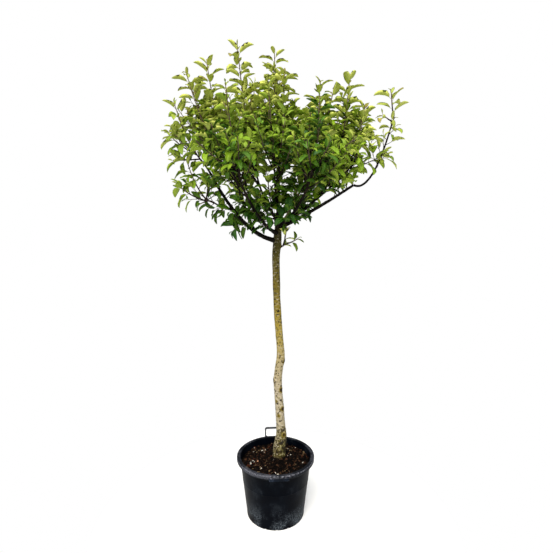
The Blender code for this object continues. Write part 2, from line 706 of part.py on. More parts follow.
def grow_twigs(crown, owner, shoot, rng):
    """Side twigs off a leading shoot, leaving at an angle and turning upwards."""
    length = sum((b - a).length for a, b in zip(shoot, shoot[1:]))
    radii = taper(SHOOT_RADIUS, len(shoot))
    count = max(1, int(length / TWIG_PITCH) - 1)
    turn = rng.uniform(0, 2 * math.pi)
    twigs = []
    for k in range(count):
        share = TWIG_FIRST + (TWIG_LAST - TWIG_FIRST) * k / max(1, count - 1)
        place, way, _ = along_path(shoot, radii, share)
        turn += GOLDEN_ANGLE
        for extra in TURNS:
            around = way.orthogonal().normalized()
            around.rotate(Matrix.Rotation(turn + extra, 3, way))
            reach = TWIG_LENGTH * rng.uniform(*TWIG_SPREAD) * (1.1 - 0.6 * share)
            out = way * math.cos(TWIG_ANGLE) + around * math.sin(TWIG_ANGLE)
            end = place + out * reach + Vector((0, 0, TWIG_LIFT * reach))
            path = curve_up(place, end, 0.6, 0.35, TWIG_STEPS)
            samples = path[1:]
            if crown.within(owner, samples) and crown.clear(owner, samples, LIMB_MARGIN):
                outer = tube([path[0].lerp(path[1], 0.2)] + path[1:], taper(TWIG_RADIUS, len(path)), TWIG_SIDES)
                if crown.misses(owner, *outer):
                    crown.keep(owner, *tube(path, taper(TWIG_RADIUS, len(path)), TWIG_SIDES))
                    twigs.append(path)
                    break
    return twigs


def stem_start(name, bough, paths):
    """Where a mass begins, 0.3 mm off the limb that carries it, and its direction."""
    if name in TRUNK_STEMS:
        height, azimuth = TRUNK_STEMS[name]
        centre, radius = trunk_at(height)
        way = Vector((math.cos(math.radians(azimuth)), math.sin(math.radians(azimuth)), 0))
        return centre + way * (radius + 2 * GAP), way
    points, _ = paths[bough]
    way = end_way(points)
    return points[-1] + way * GAP, way


def mass_skeleton(name, bough, middle, tips, paths):
    """The stem of a mass and its leading shoots, as paths."""
    start, way = stem_start(name, bough, paths)
    middle = Vector(middle)
    hub = start.lerp(middle, 0.5)
    bend = start + way * (0.4 * (hub - start).length)
    stem = []
    for k in range(STEM_STEPS + 1):
        t = k / STEM_STEPS
        stem.append(start * (1 - t) ** 2 + bend * (2 * t * (1 - t)) + hub * t * t)
    shoots = []
    for k, tip in enumerate(tips):
        share = 1.0 if k == 0 else 0.35 + 0.5 * k / len(tips)
        root = along_path(stem, [0] * len(stem), min(share, 0.97))[0]
        shoots.append(curve_up(root, Vector(tip)))
    return stem, way, shoots


def union_of(parts, name, material):
    """One closed solid from many: a Boolean union on a collection, applied."""
    pool = bpy.data.collections.new("pool_" + name)
    bpy.context.scene.collection.children.link(pool)
    body = add_object(name, *parts[0], material)
    for k, part in enumerate(parts[1:]):
        piece = add_object(f"{name}_piece_{k}", *part)
        bpy.context.scene.collection.objects.unlink(piece)
        pool.objects.link(piece)
    modifier = body.modifiers.new("union", "BOOLEAN")
    modifier.operation = "UNION"
    modifier.operand_type = "COLLECTION"
    modifier.collection = pool
    modifier.solver = "MANIFOLD"
    bpy.context.view_layer.update()
    mesh = evaluated_copy(body)
    body.modifiers.clear()
    body.data = mesh
    for piece in list(pool.objects):
        bpy.data.objects.remove(piece, do_unlink=True)
    bpy.data.collections.remove(pool)
    return body


def keep_outer_shell(body):
    """Drop closed hollows and loose scraps: only the largest shell stays."""
    work = bmesh.new()
    work.from_mesh(body.data)
    left = set(work.faces)
    shells = []
    while left:
        shell = set()
        edge = [left.pop()]
        while edge:
            face = edge.pop()
            shell.add(face)
            near = {other for side in face.edges for other in side.link_faces} & left
            left -= near
            edge += near
        volume = sum(f.calc_center_median().dot(f.normal) * f.calc_area() for f in shell) / 3
        shells.append((volume, len(shells), shell))
    shells.sort(key=lambda row: row[:2])
    scraps = [face for _, _, shell in shells[:-1] for face in shell]
    bmesh.ops.delete(work, geom=scraps, context="FACES")
    work.to_mesh(body.data)
    work.free()


def make_foliage(paths, material):
    """Every mass: stem, leading shoots, side twigs and leaves, grown by one rule."""
    crown = Crown(paths)
    skeletons = {}
    for name, bough, middle, tips in MASSES:
        stem, way, shoots = mass_skeleton(name, bough, middle, tips, paths)
        skeletons[name] = (stem, way, shoots)
        crown.add_limb(name, stem, taper(STEM_RADIUS, len(stem)))
        for shoot in shoots:
            crown.add_limb(name, shoot, taper(SHOOT_RADIUS, len(shoot)))
    masses = []
    for seed, (name, (stem, way, shoots)) in enumerate(skeletons.items()):
        rng = random.Random(seed)
        parts = [tube(stem, taper(STEM_RADIUS, len(stem)), TWIG_SIDES, way)]
        parts += [tube(shoot, taper(SHOOT_RADIUS, len(shoot)), TWIG_SIDES) for shoot in shoots]
        for part in parts:
            crown.keep(name, *part)
        twigs = [twig for shoot in [stem] + shoots for twig in grow_twigs(crown, name, shoot, rng)]
        parts += [tube(twig, taper(TWIG_RADIUS, len(twig)), TWIG_SIDES) for twig in twigs]
        for shoot in [stem] + shoots:
            parts += grow_leaves(crown, name, shoot, rng, LEAF_FIRST_SHOOT)
        for twig in twigs:
            parts += grow_leaves(crown, name, twig, rng, LEAF_FIRST_TWIG)
        mass = union_of(parts, name, material)
        keep_outer_shell(mass)
        masses.append(mass)
    return masses


def build():
    """The whole potted tree."""
    clear_scene()
    plastic = make_material("black_polypropylene", (0.012, 0.014, 0.018), 0.55)
    soil = make_material("bark_compost", (0.022, 0.013, 0.008), 0.95)
    bark = make_material("smooth_bark", (0.36, 0.29, 0.16), 0.85)
    young_bark = make_material("young_bark", (0.035, 0.026, 0.022), 0.75)
    leaves = make_material("apple_leaves", (0.13, 0.22, 0.03), 0.45)
    make_pot(plastic)
    for name, azimuth, lean in HANDLES:
        make_handle(name, azimuth, lean, plastic)
    make_compost(soil)
    paths = bough_paths(trunk_path())
    make_limbs(paths, bark, young_bark)
    make_foliage(paths, leaves)


build()
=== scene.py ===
# %% [markdown]
# # A young apple tree in a nursery pot
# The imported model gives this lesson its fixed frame: plain solids for a pot, two
# swinging handles, compost, a trunk, sixteen boughs and seventeen masses of
# foliage. Each cell below replaces one of them by a finer surface that is worked
# out with numpy, or gives it a finish, and nothing is moved from its place.

# %% Load the frame
import math

import bpy
import numpy as np
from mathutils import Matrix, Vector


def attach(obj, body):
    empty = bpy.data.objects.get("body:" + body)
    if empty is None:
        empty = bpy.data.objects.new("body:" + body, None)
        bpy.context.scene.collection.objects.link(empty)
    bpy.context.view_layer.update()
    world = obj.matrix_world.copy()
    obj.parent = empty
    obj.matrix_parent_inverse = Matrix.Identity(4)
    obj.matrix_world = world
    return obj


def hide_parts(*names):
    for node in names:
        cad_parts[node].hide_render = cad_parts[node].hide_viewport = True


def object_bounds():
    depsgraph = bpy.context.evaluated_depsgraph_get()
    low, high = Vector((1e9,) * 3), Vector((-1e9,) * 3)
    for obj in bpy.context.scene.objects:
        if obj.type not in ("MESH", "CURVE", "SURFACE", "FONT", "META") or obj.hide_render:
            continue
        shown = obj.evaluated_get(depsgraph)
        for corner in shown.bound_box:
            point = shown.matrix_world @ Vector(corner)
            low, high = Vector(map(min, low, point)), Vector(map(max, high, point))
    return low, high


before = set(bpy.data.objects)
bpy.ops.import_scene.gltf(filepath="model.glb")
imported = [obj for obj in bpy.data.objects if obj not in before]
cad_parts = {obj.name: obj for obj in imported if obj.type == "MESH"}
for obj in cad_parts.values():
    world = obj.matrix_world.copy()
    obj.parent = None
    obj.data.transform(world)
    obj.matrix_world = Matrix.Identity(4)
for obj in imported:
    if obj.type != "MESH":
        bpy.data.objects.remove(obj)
cad_box = [list(corner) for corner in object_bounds()]

# %% [markdown]
# ## Colours and nodes
# A material is a small graph. Colours are written the way a paint program shows
# them, as sRGB hex, while Blender's sockets want linear light, so one function
# turns the first into the second. One more adds any node with its settings and
# links, which keeps each material's graph readable as a few lines. Sockets are
# given by name, or as a list in their order, such as value, from and to.

# %% Colour and node helpers
def linear(code):
    """An sRGB hex colour as linear RGBA: ((c + 0.055) / 1.055) to the power 2.4 for each channel c."""
    channels = [int(code[k:k + 2], 16) / 255 for k in (1, 3, 5)]
    return tuple(c / 12.92 if c <= 0.04045 else ((c + 0.055) / 1.055) ** 2.4 for c in channels) + (1.0,)


def wire(tree, node, sockets):
    """Fill sockets by name or in order: an output, or a node's first one, is linked, a value is set."""
    for name, value in sockets.items() if isinstance(sockets, dict) else enumerate(sockets):
        if isinstance(value, bpy.types.Node):
            value = value.outputs[0]
        if isinstance(value, bpy.types.NodeSocket):
            tree.links.new(value, node.inputs[name])
        else:
            node.inputs[name].default_value = value


def put(tree, kind, sockets, stops=(), **settings):
    """Add a node with its settings, its sockets, and a colour ramp's stops (position, hex colour)."""
    node = tree.nodes.new("ShaderNode" + kind)
    for name, value in settings.items():
        setattr(node, name, value)
    for _ in stops[2:]:
        node.color_ramp.elements.new(0.5)
    for k, (position, code) in enumerate(stops):
        node.color_ramp.elements[k].position = position
        node.color_ramp.elements[k].color = linear(code)
    wire(tree, node, sockets)
    return node


def new_material(name):
    """A material, its tree, its Principled shader, and the Object coordinates in metres."""
    material = bpy.data.materials.new(name)
    material.use_nodes = True
    tree = material.node_tree
    place = put(tree, "TexCoord", ()).outputs["Object"]
    return material, tree, tree.nodes["Principled BSDF"], place


def per_metre(size_mm):
    """The scale of a noise whose grains are size_mm across: 1000 / size."""
    return 1000.0 / size_mm


# a colour Mix node's sockets by number, because their names repeat
FACTOR, FIRST, SECOND, BLENDED = 0, 6, 7, 2
print("colour check, mid green:", [round(c, 3) for c in linear("#5f7d25")])

# %% [markdown]
# ## Surfaces from arrays
# Every new piece is a closed surface: rings of points carried along a path, or a
# leaf's grid repeated many times. The rings are computed as one numpy array, and
# the faces follow from the array's shape alone. Blender takes both in one call
# each through foreach_set, which is far quicker than adding points one by one.

# %% Mesh helpers
def unit(vectors):
    """Vectors divided by their lengths."""
    return vectors / np.maximum(np.linalg.norm(vectors, axis=-1, keepdims=True), 1e-12)


def circle(count):
    """Angles round a circle: k x 2 pi / count."""
    return np.arange(count) * 2 * np.pi / count


def bezier(start, bend, end, count):
    """Points on a square Bezier: start (1 - t)^2 + bend 2t (1 - t) + end t^2."""
    t = np.linspace(0, 1, count)[:, None]
    return start * (1 - t) ** 2 + bend * 2 * t * (1 - t) + end * t * t


def around_way(way, turn, tilt):
    """Directions square to a way and turned about it: a cos turn + (way x a) sin turn, a = way x tilt."""
    across = unit(np.cross(way, tilt))
    turn = np.asarray(turn)[..., None]
    return across * np.cos(turn) + np.cross(way, across) * np.sin(turn)


def skin(rings):
    """Points and faces over rings (tubes, rings, sides, xyz), each end closed by a fan to its middle."""
    tubes, count, sides, _ = rings.shape
    poles = rings[:, [0, -1]].mean(axis=2)
    points = np.concatenate([rings.reshape(tubes, count * sides, 3), poles], axis=1)
    here = np.arange(sides)
    after = (here + 1) % sides
    row = np.arange(count - 1)[:, None] * sides
    quads = np.stack([row + here, row + after, row + sides + after, row + sides + here], -1).reshape(-1, 4)
    last = (count - 1) * sides
    foot = np.stack([np.full(sides, count * sides), after, here], -1)
    top = np.stack([np.full(sides, count * sides + 1), last + here, last + after], -1)
    shift = (np.arange(tubes) * points.shape[1])[:, None, None]
    ends = np.concatenate([foot, top])
    return points.reshape(-1, 3), [(part[None] + shift).reshape(-1, part.shape[1]) for part in (quads, ends)]


def frames_along(paths):
    """Unit vectors along many paths and two across: the axis that a path follows least sets the first."""
    along = unit(np.gradient(paths, axis=1))
    chord = paths[:, -1] - paths[:, 0]
    level = np.eye(3)[np.abs(chord).argmin(axis=1)][:, None, :]
    across = unit(np.cross(along, level))
    return along, across, np.cross(along, across)


def tube_rings(paths, radii, sides):
    """Rings square to many paths: middle + radius x (cos angle x across + sin angle x up)."""
    _, across, up = frames_along(paths)
    angle = circle(sides)
    ring = np.cos(angle)[:, None] * across[:, :, None, :] + np.sin(angle)[:, None] * up[:, :, None, :]
    return paths[:, :, None, :] + radii[:, :, None, None] * ring


def add_piece(name, points, faces, materials, body="root", slots=None, sharp=None, uv=None):
    """Put arrays of points and faces into a mesh object that rides on a body."""
    mesh = bpy.data.meshes.new(name)
    corners = np.concatenate([part.ravel() for part in faces]).astype(np.int32)
    sizes = np.concatenate([np.full(len(part), part.shape[1]) for part in faces])
    mesh.vertices.add(len(points))
    mesh.vertices.foreach_set("co", points.astype(np.float32).ravel())
    mesh.loops.add(len(corners))
    mesh.loops.foreach_set("vertex_index", corners)
    mesh.polygons.add(len(sizes))
    mesh.polygons.foreach_set("loop_start", (np.cumsum(sizes) - sizes).astype(np.int32))
    for material in materials:
        mesh.materials.append(material)
    if slots is not None:
        mesh.polygons.foreach_set("material_index", slots.astype(np.int32))
    if uv is not None:
        layer = mesh.uv_layers.new(name="blade")
        layer.data.foreach_set("uv", uv[corners].astype(np.float32).ravel())
    mesh.update(calc_edges=True)
    mesh.shade_smooth()
    if sharp:
        mesh.set_sharp_from_angle(angle=math.radians(sharp))
    piece = bpy.data.objects.new(name, mesh)
    bpy.context.scene.collection.objects.link(piece)
    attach(piece, body)
    return piece


def triangles(piece):
    """How many triangles a piece's faces make."""
    return sum(len(face.vertices) - 2 for face in piece.data.polygons)


def lattice_noise(places, cell, seed=0):
    """Smooth noise from -1 to 1: random values on a lattice, blended between its corners by 3t^2 - 2t^3."""
    spot = np.asarray(places) / cell
    base = np.floor(spot).astype(np.int64)
    part = spot - base
    ease = part * part * (3 - 2 * part)
    total = np.zeros(spot.shape[:-1])
    for corner in np.ndindex(2, 2, 2):
        at = base + np.array(corner)
        mixed = at @ np.array([73856093, 19349663, 83492791]) + seed * 2654435761
        mixed = (mixed ^ (mixed >> 13)) * 1274126177
        value = ((mixed ^ (mixed >> 16)) & 65535) / 32767.5 - 1
        total += value * np.prod(np.where(corner, ease, 1 - ease), axis=-1)
    return total


print("noise sample:", np.round(lattice_noise(np.array([[0.01, 0.02, 0.03]]), 0.01), 3))

# %% [markdown]
# ## Camera
# The photograph is square, taken from about two metres away at breast height and
# tipped five degrees down. A lens of 26 mm on a 36 mm wide frame has that view.

# %% Camera
CAMERA_PLACE = (0.005, -1.984, 1.408)
CAMERA_TIP = math.radians(5)
FOCAL_SHARE = 400 / 553  # focal length as a share of the picture's width

view = bpy.data.cameras.new("camera")
view.sensor_width = 36.0
view.lens = view.sensor_width * FOCAL_SHARE
camera = bpy.data.objects.new("camera", view)
camera.location = CAMERA_PLACE
camera.rotation_euler = (math.pi / 2 - CAMERA_TIP, 0, 0)
bpy.context.scene.collection.objects.link(camera)
bpy.context.scene.camera = camera
print("lens:", round(view.lens, 2), "mm")

# %% [markdown]
# ## Floor and light
# The tree was taken under an open sky and set on plain white. A sun lamp with a
# very wide disc gives that light: even over the whole tree, soft in its shadows,
# and from above. A dim, slightly blue world fills the shadows, and the camera
# alone sees it as white, so the small pale floor under the pot runs into it.

# %% Floor, sun and world
FLOOR_RADIUS = 0.9
FLOOR_SIDES = 96
SUN_POWER = 5.2
SUN_WIDTH = math.radians(50)
SUN_TILT = (math.radians(31), math.radians(-8))  # towards the camera, and towards the left
FILL_POWER = 0.66


def make_floor():
    """A level disc under the pot."""
    angle = circle(FLOOR_SIDES)
    points = FLOOR_RADIUS * np.stack([np.cos(angle), np.sin(angle), 0 * angle], -1)
    mesh = bpy.data.meshes.new("floor")
    mesh.from_pydata(points.tolist(), [], [list(range(FLOOR_SIDES))])
    # rolled matte paint: no sheen, so that the eye sees only the soft shadow on it
    material, tree, shader, _ = new_material("matte_floor_paint")
    wire(tree, shader, {"Base Color": linear("#f4f4f3"), "Roughness": 0.9})
    mesh.materials.append(material)
    floor = bpy.data.objects.new("floor", mesh)
    bpy.context.scene.collection.objects.link(floor)


def make_sun():
    """A sun lamp with a wide disc."""
    lamp = bpy.data.lights.new("sun", "SUN")
    lamp.energy = SUN_POWER
    lamp.angle = SUN_WIDTH
    lamp.color = linear("#fffaf2")[:3]
    sun = bpy.data.objects.new("sun", lamp)
    sun.rotation_euler = (SUN_TILT[0], SUN_TILT[1], 0)
    bpy.context.scene.collection.objects.link(sun)


def make_world():
    """A dim sky for the light, and white for the camera."""
    world = bpy.data.worlds.new("pale_sky")
    bpy.context.scene.world = world
    world.use_nodes = True
    tree = world.node_tree
    sky = tree.nodes["Background"]
    sky.inputs["Color"].default_value = linear("#eef3fa")
    sky.inputs["Strength"].default_value = FILL_POWER
    white = put(tree, "Background", {"Color": linear("#ffffff"), "Strength": 1.0})
    seen = put(tree, "LightPath", ()).outputs["Is Camera Ray"]
    both = put(tree, "MixShader", (seen, sky, white))
    tree.links.new(both.outputs["Shader"], tree.nodes["World Output"].inputs["Surface"])


make_floor()
make_sun()
make_world()
bpy.context.scene.view_settings.view_transform = "Standard"
print("sun:", SUN_POWER, "fill:", FILL_POWER)

# %% [markdown]
# ## Black polypropylene
# The pot is injection-moulded polypropylene: near black, half dull, with a little
# blue. Months outdoors leave smoky patches and runs down the wall, and dried
# splashes at its foot. The rim is greyer, with a pale line along its top edge:
# both are partly dust and wear and partly a painted reflection and highlight of
# the sky. A painter would mask these by hand. Here each is a noise at its real
# size, cut by height or radius, so that it sits in the same place from every
# side, and it roughens the plastic as well.

# %% Plastic materials
def moulded_plastic(name, black, tint, dust, least, most, foot=0.0, edge=0.0):
    """Polypropylene under dust: smoky patches and streaks, specks at the foot, and a pale line on the rim's
    edge that is partly wear and partly a painted highlight.
    """
    material, tree, shader, place = new_material(name)
    upright = put(tree, "Mapping", {"Vector": place, "Scale": (1.0, 1.0, 0.14)})
    # patches, streaks, specks, and the mould's grain, which is 0.3 mm in life and drawn at 1.2 mm to show
    wide, streak, fine, grain = (
        put(tree, "TexNoise",
            {"Vector": spot, "Scale": per_metre(size), "Detail": detail, "Roughness": rough})
        for spot, size, detail, rough in (
            (place, 80, 4.0, 0.5), (upright, 9, 3.0, 0.5), (place, 5, 6.0, 0.7), (place, 1.2, 2.0, 0.5)))
    both = put(tree, "Math", (streak, 0.35, wide), operation="MULTIPLY_ADD")
    smoke = put(tree, "Math", (fine, 0.35, both), operation="MULTIPLY_ADD")
    patch = put(tree, "MapRange", (smoke, 0.84, 1.04, least, most))
    height = put(tree, "SeparateXYZ", (place,)).outputs["Z"]
    shade = put(tree, "MapRange", (wide, 0.40, 0.62))
    deep = put(tree, "MapRange", (height, 0.12, 0.0, 0.0, foot))
    low = put(tree, "Math", (deep, shade), operation="MULTIPLY")
    speck = put(tree, "MapRange", (fine, 0.48, 0.60))
    splash = put(tree, "Math", (low, speck, patch), operation="MULTIPLY_ADD")
    # a pale line along the top of the rim's outer edge: partly wear, partly a painted highlight
    level = put(tree, "VectorMath", (place, (1.0, 1.0, 0.0)), operation="MULTIPLY")
    radius = put(tree, "VectorMath", (level,), operation="LENGTH").outputs["Value"]
    outer = put(tree, "MapRange", (radius, 0.1950, 0.1985, 0.0, edge))
    top = put(tree, "MapRange", (height, 0.3015, 0.3070, 0.12))
    line = put(tree, "Math", (outer, top), operation="MULTIPLY")
    dust_wear_and_highlight = put(tree, "Math", (line, speck, splash), operation="MULTIPLY_ADD", use_clamp=True)
    colour = linear(black)
    for share, coat in ((shade, tint), (dust_wear_and_highlight, dust)):
        colour = put(tree, "Mix", {FACTOR: share, FIRST: colour, SECOND: linear(coat)},
                     data_type="RGBA").outputs[BLENDED]
    rough = put(tree, "MapRange", {"Value": dust_wear_and_highlight, "To Min": 0.42, "To Max": 0.85})
    relief = put(tree, "Bump", {"Height": grain, "Distance": 0.00008})
    wire(tree, shader, {"Base Color": colour, "Roughness": rough, "IOR": 1.49, "Specular IOR Level": 0.02,
                        "Normal": relief})
    return material


# smooth from the mould: it gives the eye a deep black on which dust shows as smoke
wall_plastic = moulded_plastic(
    "moulded_black_polypropylene", "#020409", "#050910", "#656d74", -0.02, 0.05, foot=0.9)
# handled and rubbed: a greyer black whose dust is partly a painted sky reflection, and pale specks along its
# top edge that are partly wear and partly a painted highlight
rim_plastic = moulded_plastic(
    "dusty_polypropylene_rim_painted_highlight", "#04070c", "#0a0e14", "#7f808a", 0.02, 0.26, edge=0.80)
# the same plastic in thin bars: dark, with a grey bloom
handle_plastic = moulded_plastic(
    "moulded_grey_polypropylene", "#04070d", "#0c1320", "#5c6472", 0.03, 0.20)
print("plastics: wall, rim and handle")

# %% [markdown]
# ## The pot
# A pot like this is a turned shape, so it could be drawn as half its section and
# spun. Here the section's corners are rounded with short arcs, the whole section
# is spun with numpy in one step, and a Boolean cuts the drain slots through the
# foot. The Boolean's result is applied, so the cutters can be removed.

# %% Pot shell
POT_HEIGHT = 0.310
RIM_RADIUS = 0.200
RIM_FLANGE = 0.017
LIP_DEPTH = 0.016
POT_WALL = 0.0025
POT_FLOOR = 0.004
WALL_TOP = RIM_RADIUS - RIM_FLANGE
WALL_FOOT = 0.148
FOOT_BEVEL = 0.006
RING_HEIGHT = 0.192  # a low moulded ring round the wall
RING_RADIUS = (WALL_FOOT + 0.001
               + (WALL_TOP - WALL_FOOT - 0.0045) * (RING_HEIGHT - 0.024) / (POT_HEIGHT - 0.058))
POT_SIDES = 160
CORNER_ROUND = 0.0022
DRAIN_COUNT = 16
DRAIN_FIRST = -87.5
DRAIN_SIZE = (0.012, 0.022, 0.014)  # along the rim, through the wall, up from below the floor


def rounded(outline, radius, steps=3):
    """Each inner corner becomes a square Bezier from one side to the other, bent at the corner."""
    points = [np.array(outline[0])]
    for before, corner, after in zip(outline, outline[1:], outline[2:]):
        before, corner, after = np.array(before), np.array(corner), np.array(after)
        reach = min(radius, np.linalg.norm(before - corner) / 2.2, np.linalg.norm(after - corner) / 2.2)
        start = corner + unit(before - corner) * reach
        end = corner + unit(after - corner) * reach
        points.extend(bezier(start, corner, end, steps + 1))
    points.append(np.array(outline[-1]))
    return np.array(points)


def spin_rings(outline, sides):
    """Spin (radius, height) points about Z: x = r cos angle, y = r sin angle."""
    angle = circle(sides)
    radius, height = outline[:, :1], outline[:, 1:]
    return np.stack([radius * np.cos(angle), radius * np.sin(angle), height + 0 * angle], -1)[None]


def block(size, middle, turn):
    """A box turned about Z, as two square rings up Z."""
    corners = np.array([(-0.5, -0.5), (0.5, -0.5), (0.5, 0.5), (-0.5, 0.5)]) * size[:2]
    spin = np.array([(math.cos(turn), math.sin(turn)), (-math.sin(turn), math.cos(turn))])
    level = corners @ spin + middle[:2]
    heights = (middle[2] + side * size[2] / 2 for side in (-1, 1))
    return np.stack([np.column_stack([level, np.full(4, height)]) for height in heights])


POT_SECTION = [
    (0.0005, 0.0),
    (WALL_FOOT - FOOT_BEVEL, 0.0),
    (WALL_FOOT - 0.0015, 0.0022),
    (WALL_FOOT, FOOT_BEVEL),
    (WALL_FOOT + 0.001, 0.024),
    (RING_RADIUS - 0.0002, RING_HEIGHT - 0.0022),
    (RING_RADIUS + 0.0007, RING_HEIGHT - 0.0010),
    (RING_RADIUS + 0.0008, RING_HEIGHT + 0.0010),
    (RING_RADIUS + 0.0002, RING_HEIGHT + 0.0022),
    (WALL_TOP - 0.0035, POT_HEIGHT - 0.034),
    (WALL_TOP, POT_HEIGHT - 0.030),
    (WALL_TOP + 0.0005, POT_HEIGHT - POT_WALL),
    (RIM_RADIUS - POT_WALL, POT_HEIGHT - POT_WALL),
    (RIM_RADIUS - POT_WALL, POT_HEIGHT - LIP_DEPTH),
    (RIM_RADIUS - 0.0005, POT_HEIGHT - LIP_DEPTH),
    (RIM_RADIUS, POT_HEIGHT),
    (WALL_TOP - POT_WALL, POT_HEIGHT - 0.0005),
    (WALL_FOOT - POT_WALL, POT_FLOOR + FOOT_BEVEL),
    (WALL_FOOT - POT_WALL - FOOT_BEVEL, POT_FLOOR),
    (0.0005, POT_FLOOR),
]


def make_pot():
    """The turned shell, its rim in the dusty finish with its painted highlight, with slots cut through its
    foot.
    """
    points, faces = skin(spin_rings(rounded(POT_SECTION, CORNER_ROUND), POT_SIDES))
    middle = np.array([points[part].mean(axis=1) for part in faces], dtype=object)
    slots = np.concatenate([(part[:, 2] > POT_HEIGHT - LIP_DEPTH - 0.001)
                            & (np.hypot(part[:, 0], part[:, 1]) > WALL_TOP - 0.001) for part in middle])
    pot = add_piece("pot_shell", points, faces, [wall_plastic, rim_plastic], slots=slots, sharp=35)
    turns = np.radians(DRAIN_FIRST + 360 * np.arange(DRAIN_COUNT) / DRAIN_COUNT)
    boxes = [block(DRAIN_SIZE, np.array([WALL_FOOT * math.cos(t), WALL_FOOT * math.sin(t), 0.0]),
                   t - math.pi / 2) for t in turns]
    cutter = add_piece("cutter", *skin(np.array(boxes)), [])
    cut = pot.modifiers.new("slots", "BOOLEAN")
    cut.operation = "DIFFERENCE"
    cut.object = cutter
    bpy.context.view_layer.update()
    shape = bpy.data.meshes.new_from_object(pot.evaluated_get(bpy.context.evaluated_depsgraph_get()))
    pot.modifiers.clear()
    pot.data = shape
    bpy.data.objects.remove(cutter)
    return pot


pot = make_pot()
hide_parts("pot")
print("pot shell:", triangles(pot), "triangles")

# %% [markdown]
# ## Lugs and handles
# Each handle is a flat moulded bail that swings on two pins. The lugs that hold
# the pins stand on the rim. A bail is one section, a rounded bar with a shallow
# groove along its outer face, carried round a path of two legs, two corners and
# a grip, and its pins are short round tubes.

# %% Lugs and bails
HANDLE_WIDTH = 0.085
HANDLE_REACH = 0.051
HANDLE_THICK = 0.007
HANDLE_BROAD = 0.011
HANDLE_CORNER = 0.007
PIN_RADIUS = 0.0025
PIN_LENGTH = 0.008
LUG_WIDTH = 0.0066
LUG_RADIUS = 0.0062
PIN_AXIS_RADIUS = RIM_RADIUS + 0.0065
PIN_AXIS_HEIGHT = POT_HEIGHT - 0.008
# side, its direction from the pot's middle, and how far the bail leans outwards, in degrees
HANDLES = (("front", -86.0, 63.0), ("back", 94.0, 0.0))
EYELETS = (-26.0, 154.0)  # directions of two small rings on the flange
EYELET_PLACE = 0.1875
EYELET_RADIUS = 0.0058
EYELET_THICK = 0.0018
EYELET_FLAT = 0.8  # its section's height as a share of its breadth
EYELET_STEPS, EYELET_SIDES = 24, 8
BAR_SQUARE = 0.45  # power of the superellipse: 1 is round, 0 square
GROOVE_DEPTH, GROOVE_WIDTH = 0.16, 0.0026  # the first as a share of the bar's thickness
# a bail's leg from below its pin upwards: its height and how broad it is there
LEG_HEIGHTS = (-0.0052, -0.0049, -0.0040, -0.0022, 0.0, 0.004, 0.02)
LEG_BREADTHS = (0.30, 0.55, 0.80, 0.96, 1.0, 1.0, 1.0)
BAIL_STEPS, BAIL_SIDES, LUG_SIDES, PIN_SIDES = 7, 24, 24, 16
LUG_CLEARANCE = 0.0003
LUG_INWARDS = 1.6  # a lug reaches further inwards, to the flange


def rim_place(points, azimuth, lean=0.0):
    """Points as (along the rim, outwards, up) from the pins' middle, leaned outwards and put on the rim."""
    lean = math.radians(lean)
    turn = math.radians(azimuth)
    out = points[..., 1] * math.cos(lean) + points[..., 2] * math.sin(lean) + PIN_AXIS_RADIUS
    up = points[..., 2] * math.cos(lean) - points[..., 1] * math.sin(lean) + PIN_AXIS_HEIGHT
    along = points[..., 0]
    return np.stack([out * math.cos(turn) - along * math.sin(turn),
                     out * math.sin(turn) + along * math.cos(turn), up], -1)


def bail_rings():
    """A superellipse bar with a groove, square to a path of legs, round corners and grip."""
    half = HANDLE_WIDTH / 2
    corner = np.linspace(0, np.pi / 2, BAIL_STEPS)
    bend = np.stack([half - HANDLE_CORNER + HANDLE_CORNER * np.cos(corner),
                     HANDLE_REACH - HANDLE_CORNER + HANDLE_CORNER * np.sin(corner)], -1)
    leg = np.stack([np.full(len(LEG_HEIGHTS), half), LEG_HEIGHTS], -1)
    size = np.concatenate([LEG_BREADTHS, np.ones(BAIL_STEPS)])
    path = np.concatenate([leg, bend])
    path = np.concatenate([path, path[::-1] * (-1, 1)])
    size = np.concatenate([size, size[::-1]])
    way = unit(np.gradient(path, axis=0))
    side = np.stack([way[:, 1], -way[:, 0]], -1)
    angle = circle(BAIL_SIDES)
    thick, broad = (full / 2 * np.sign(wave) * np.abs(wave) ** BAR_SQUARE for full, wave
                    in ((HANDLE_THICK, np.cos(angle)), (HANDLE_BROAD, np.sin(angle))))
    thick = thick * (1 - GROOVE_DEPTH * np.exp(-(broad / GROOVE_WIDTH) ** 2) * (thick > 0))
    level = path[:, None, :] + side[:, None, :] * thick[:, None]
    out = np.broadcast_to(broad, level.shape[:2]) * size[:, None]
    return np.stack([level[..., 0], out, level[..., 1]], -1)[None][:, :, ::-1]


def bar_rings(start, end, radius, sides, shrink=0.25):
    """A short bar along the rim from start to end, with slightly rounded ends."""
    way = math.copysign(1.0, end - start)
    edge = radius * shrink
    spots = np.array([start, start + way * edge, end - way * edge, end])
    radii = radius * np.array([1 - shrink, 1, 1, 1 - shrink])
    angle = -way * circle(sides)
    ring = np.stack([0 * angle, np.cos(angle), np.sin(angle)], -1)
    return (ring[None] * radii[:, None, None] + spots[:, None, None] * np.array([1.0, 0, 0]))[None]


def eyelet(azimuth):
    """A flat ring moulded on the flange, for a label's tie: a round section carried round a small circle."""
    around, angle = circle(EYELET_STEPS)[:, None], circle(EYELET_SIDES)
    reach = EYELET_RADIUS + EYELET_THICK * np.cos(angle)
    height = POT_HEIGHT + EYELET_THICK * EYELET_FLAT * np.sin(angle) + 0 * around
    ring = np.stack([reach * np.cos(around), reach * np.sin(around), height], -1)
    middle = EYELET_PLACE * np.array([math.cos(math.radians(azimuth)), math.sin(math.radians(azimuth)), 0])
    spot = np.arange(EYELET_STEPS * EYELET_SIDES).reshape(EYELET_STEPS, EYELET_SIDES)
    ahead, beside = np.roll(spot, -1, axis=0), np.roll(spot, -1, axis=1)
    quads = np.stack([spot, ahead, np.roll(beside, -1, axis=0), beside], -1)
    return (ring + middle).reshape(-1, 3), [quads.reshape(-1, 4)]


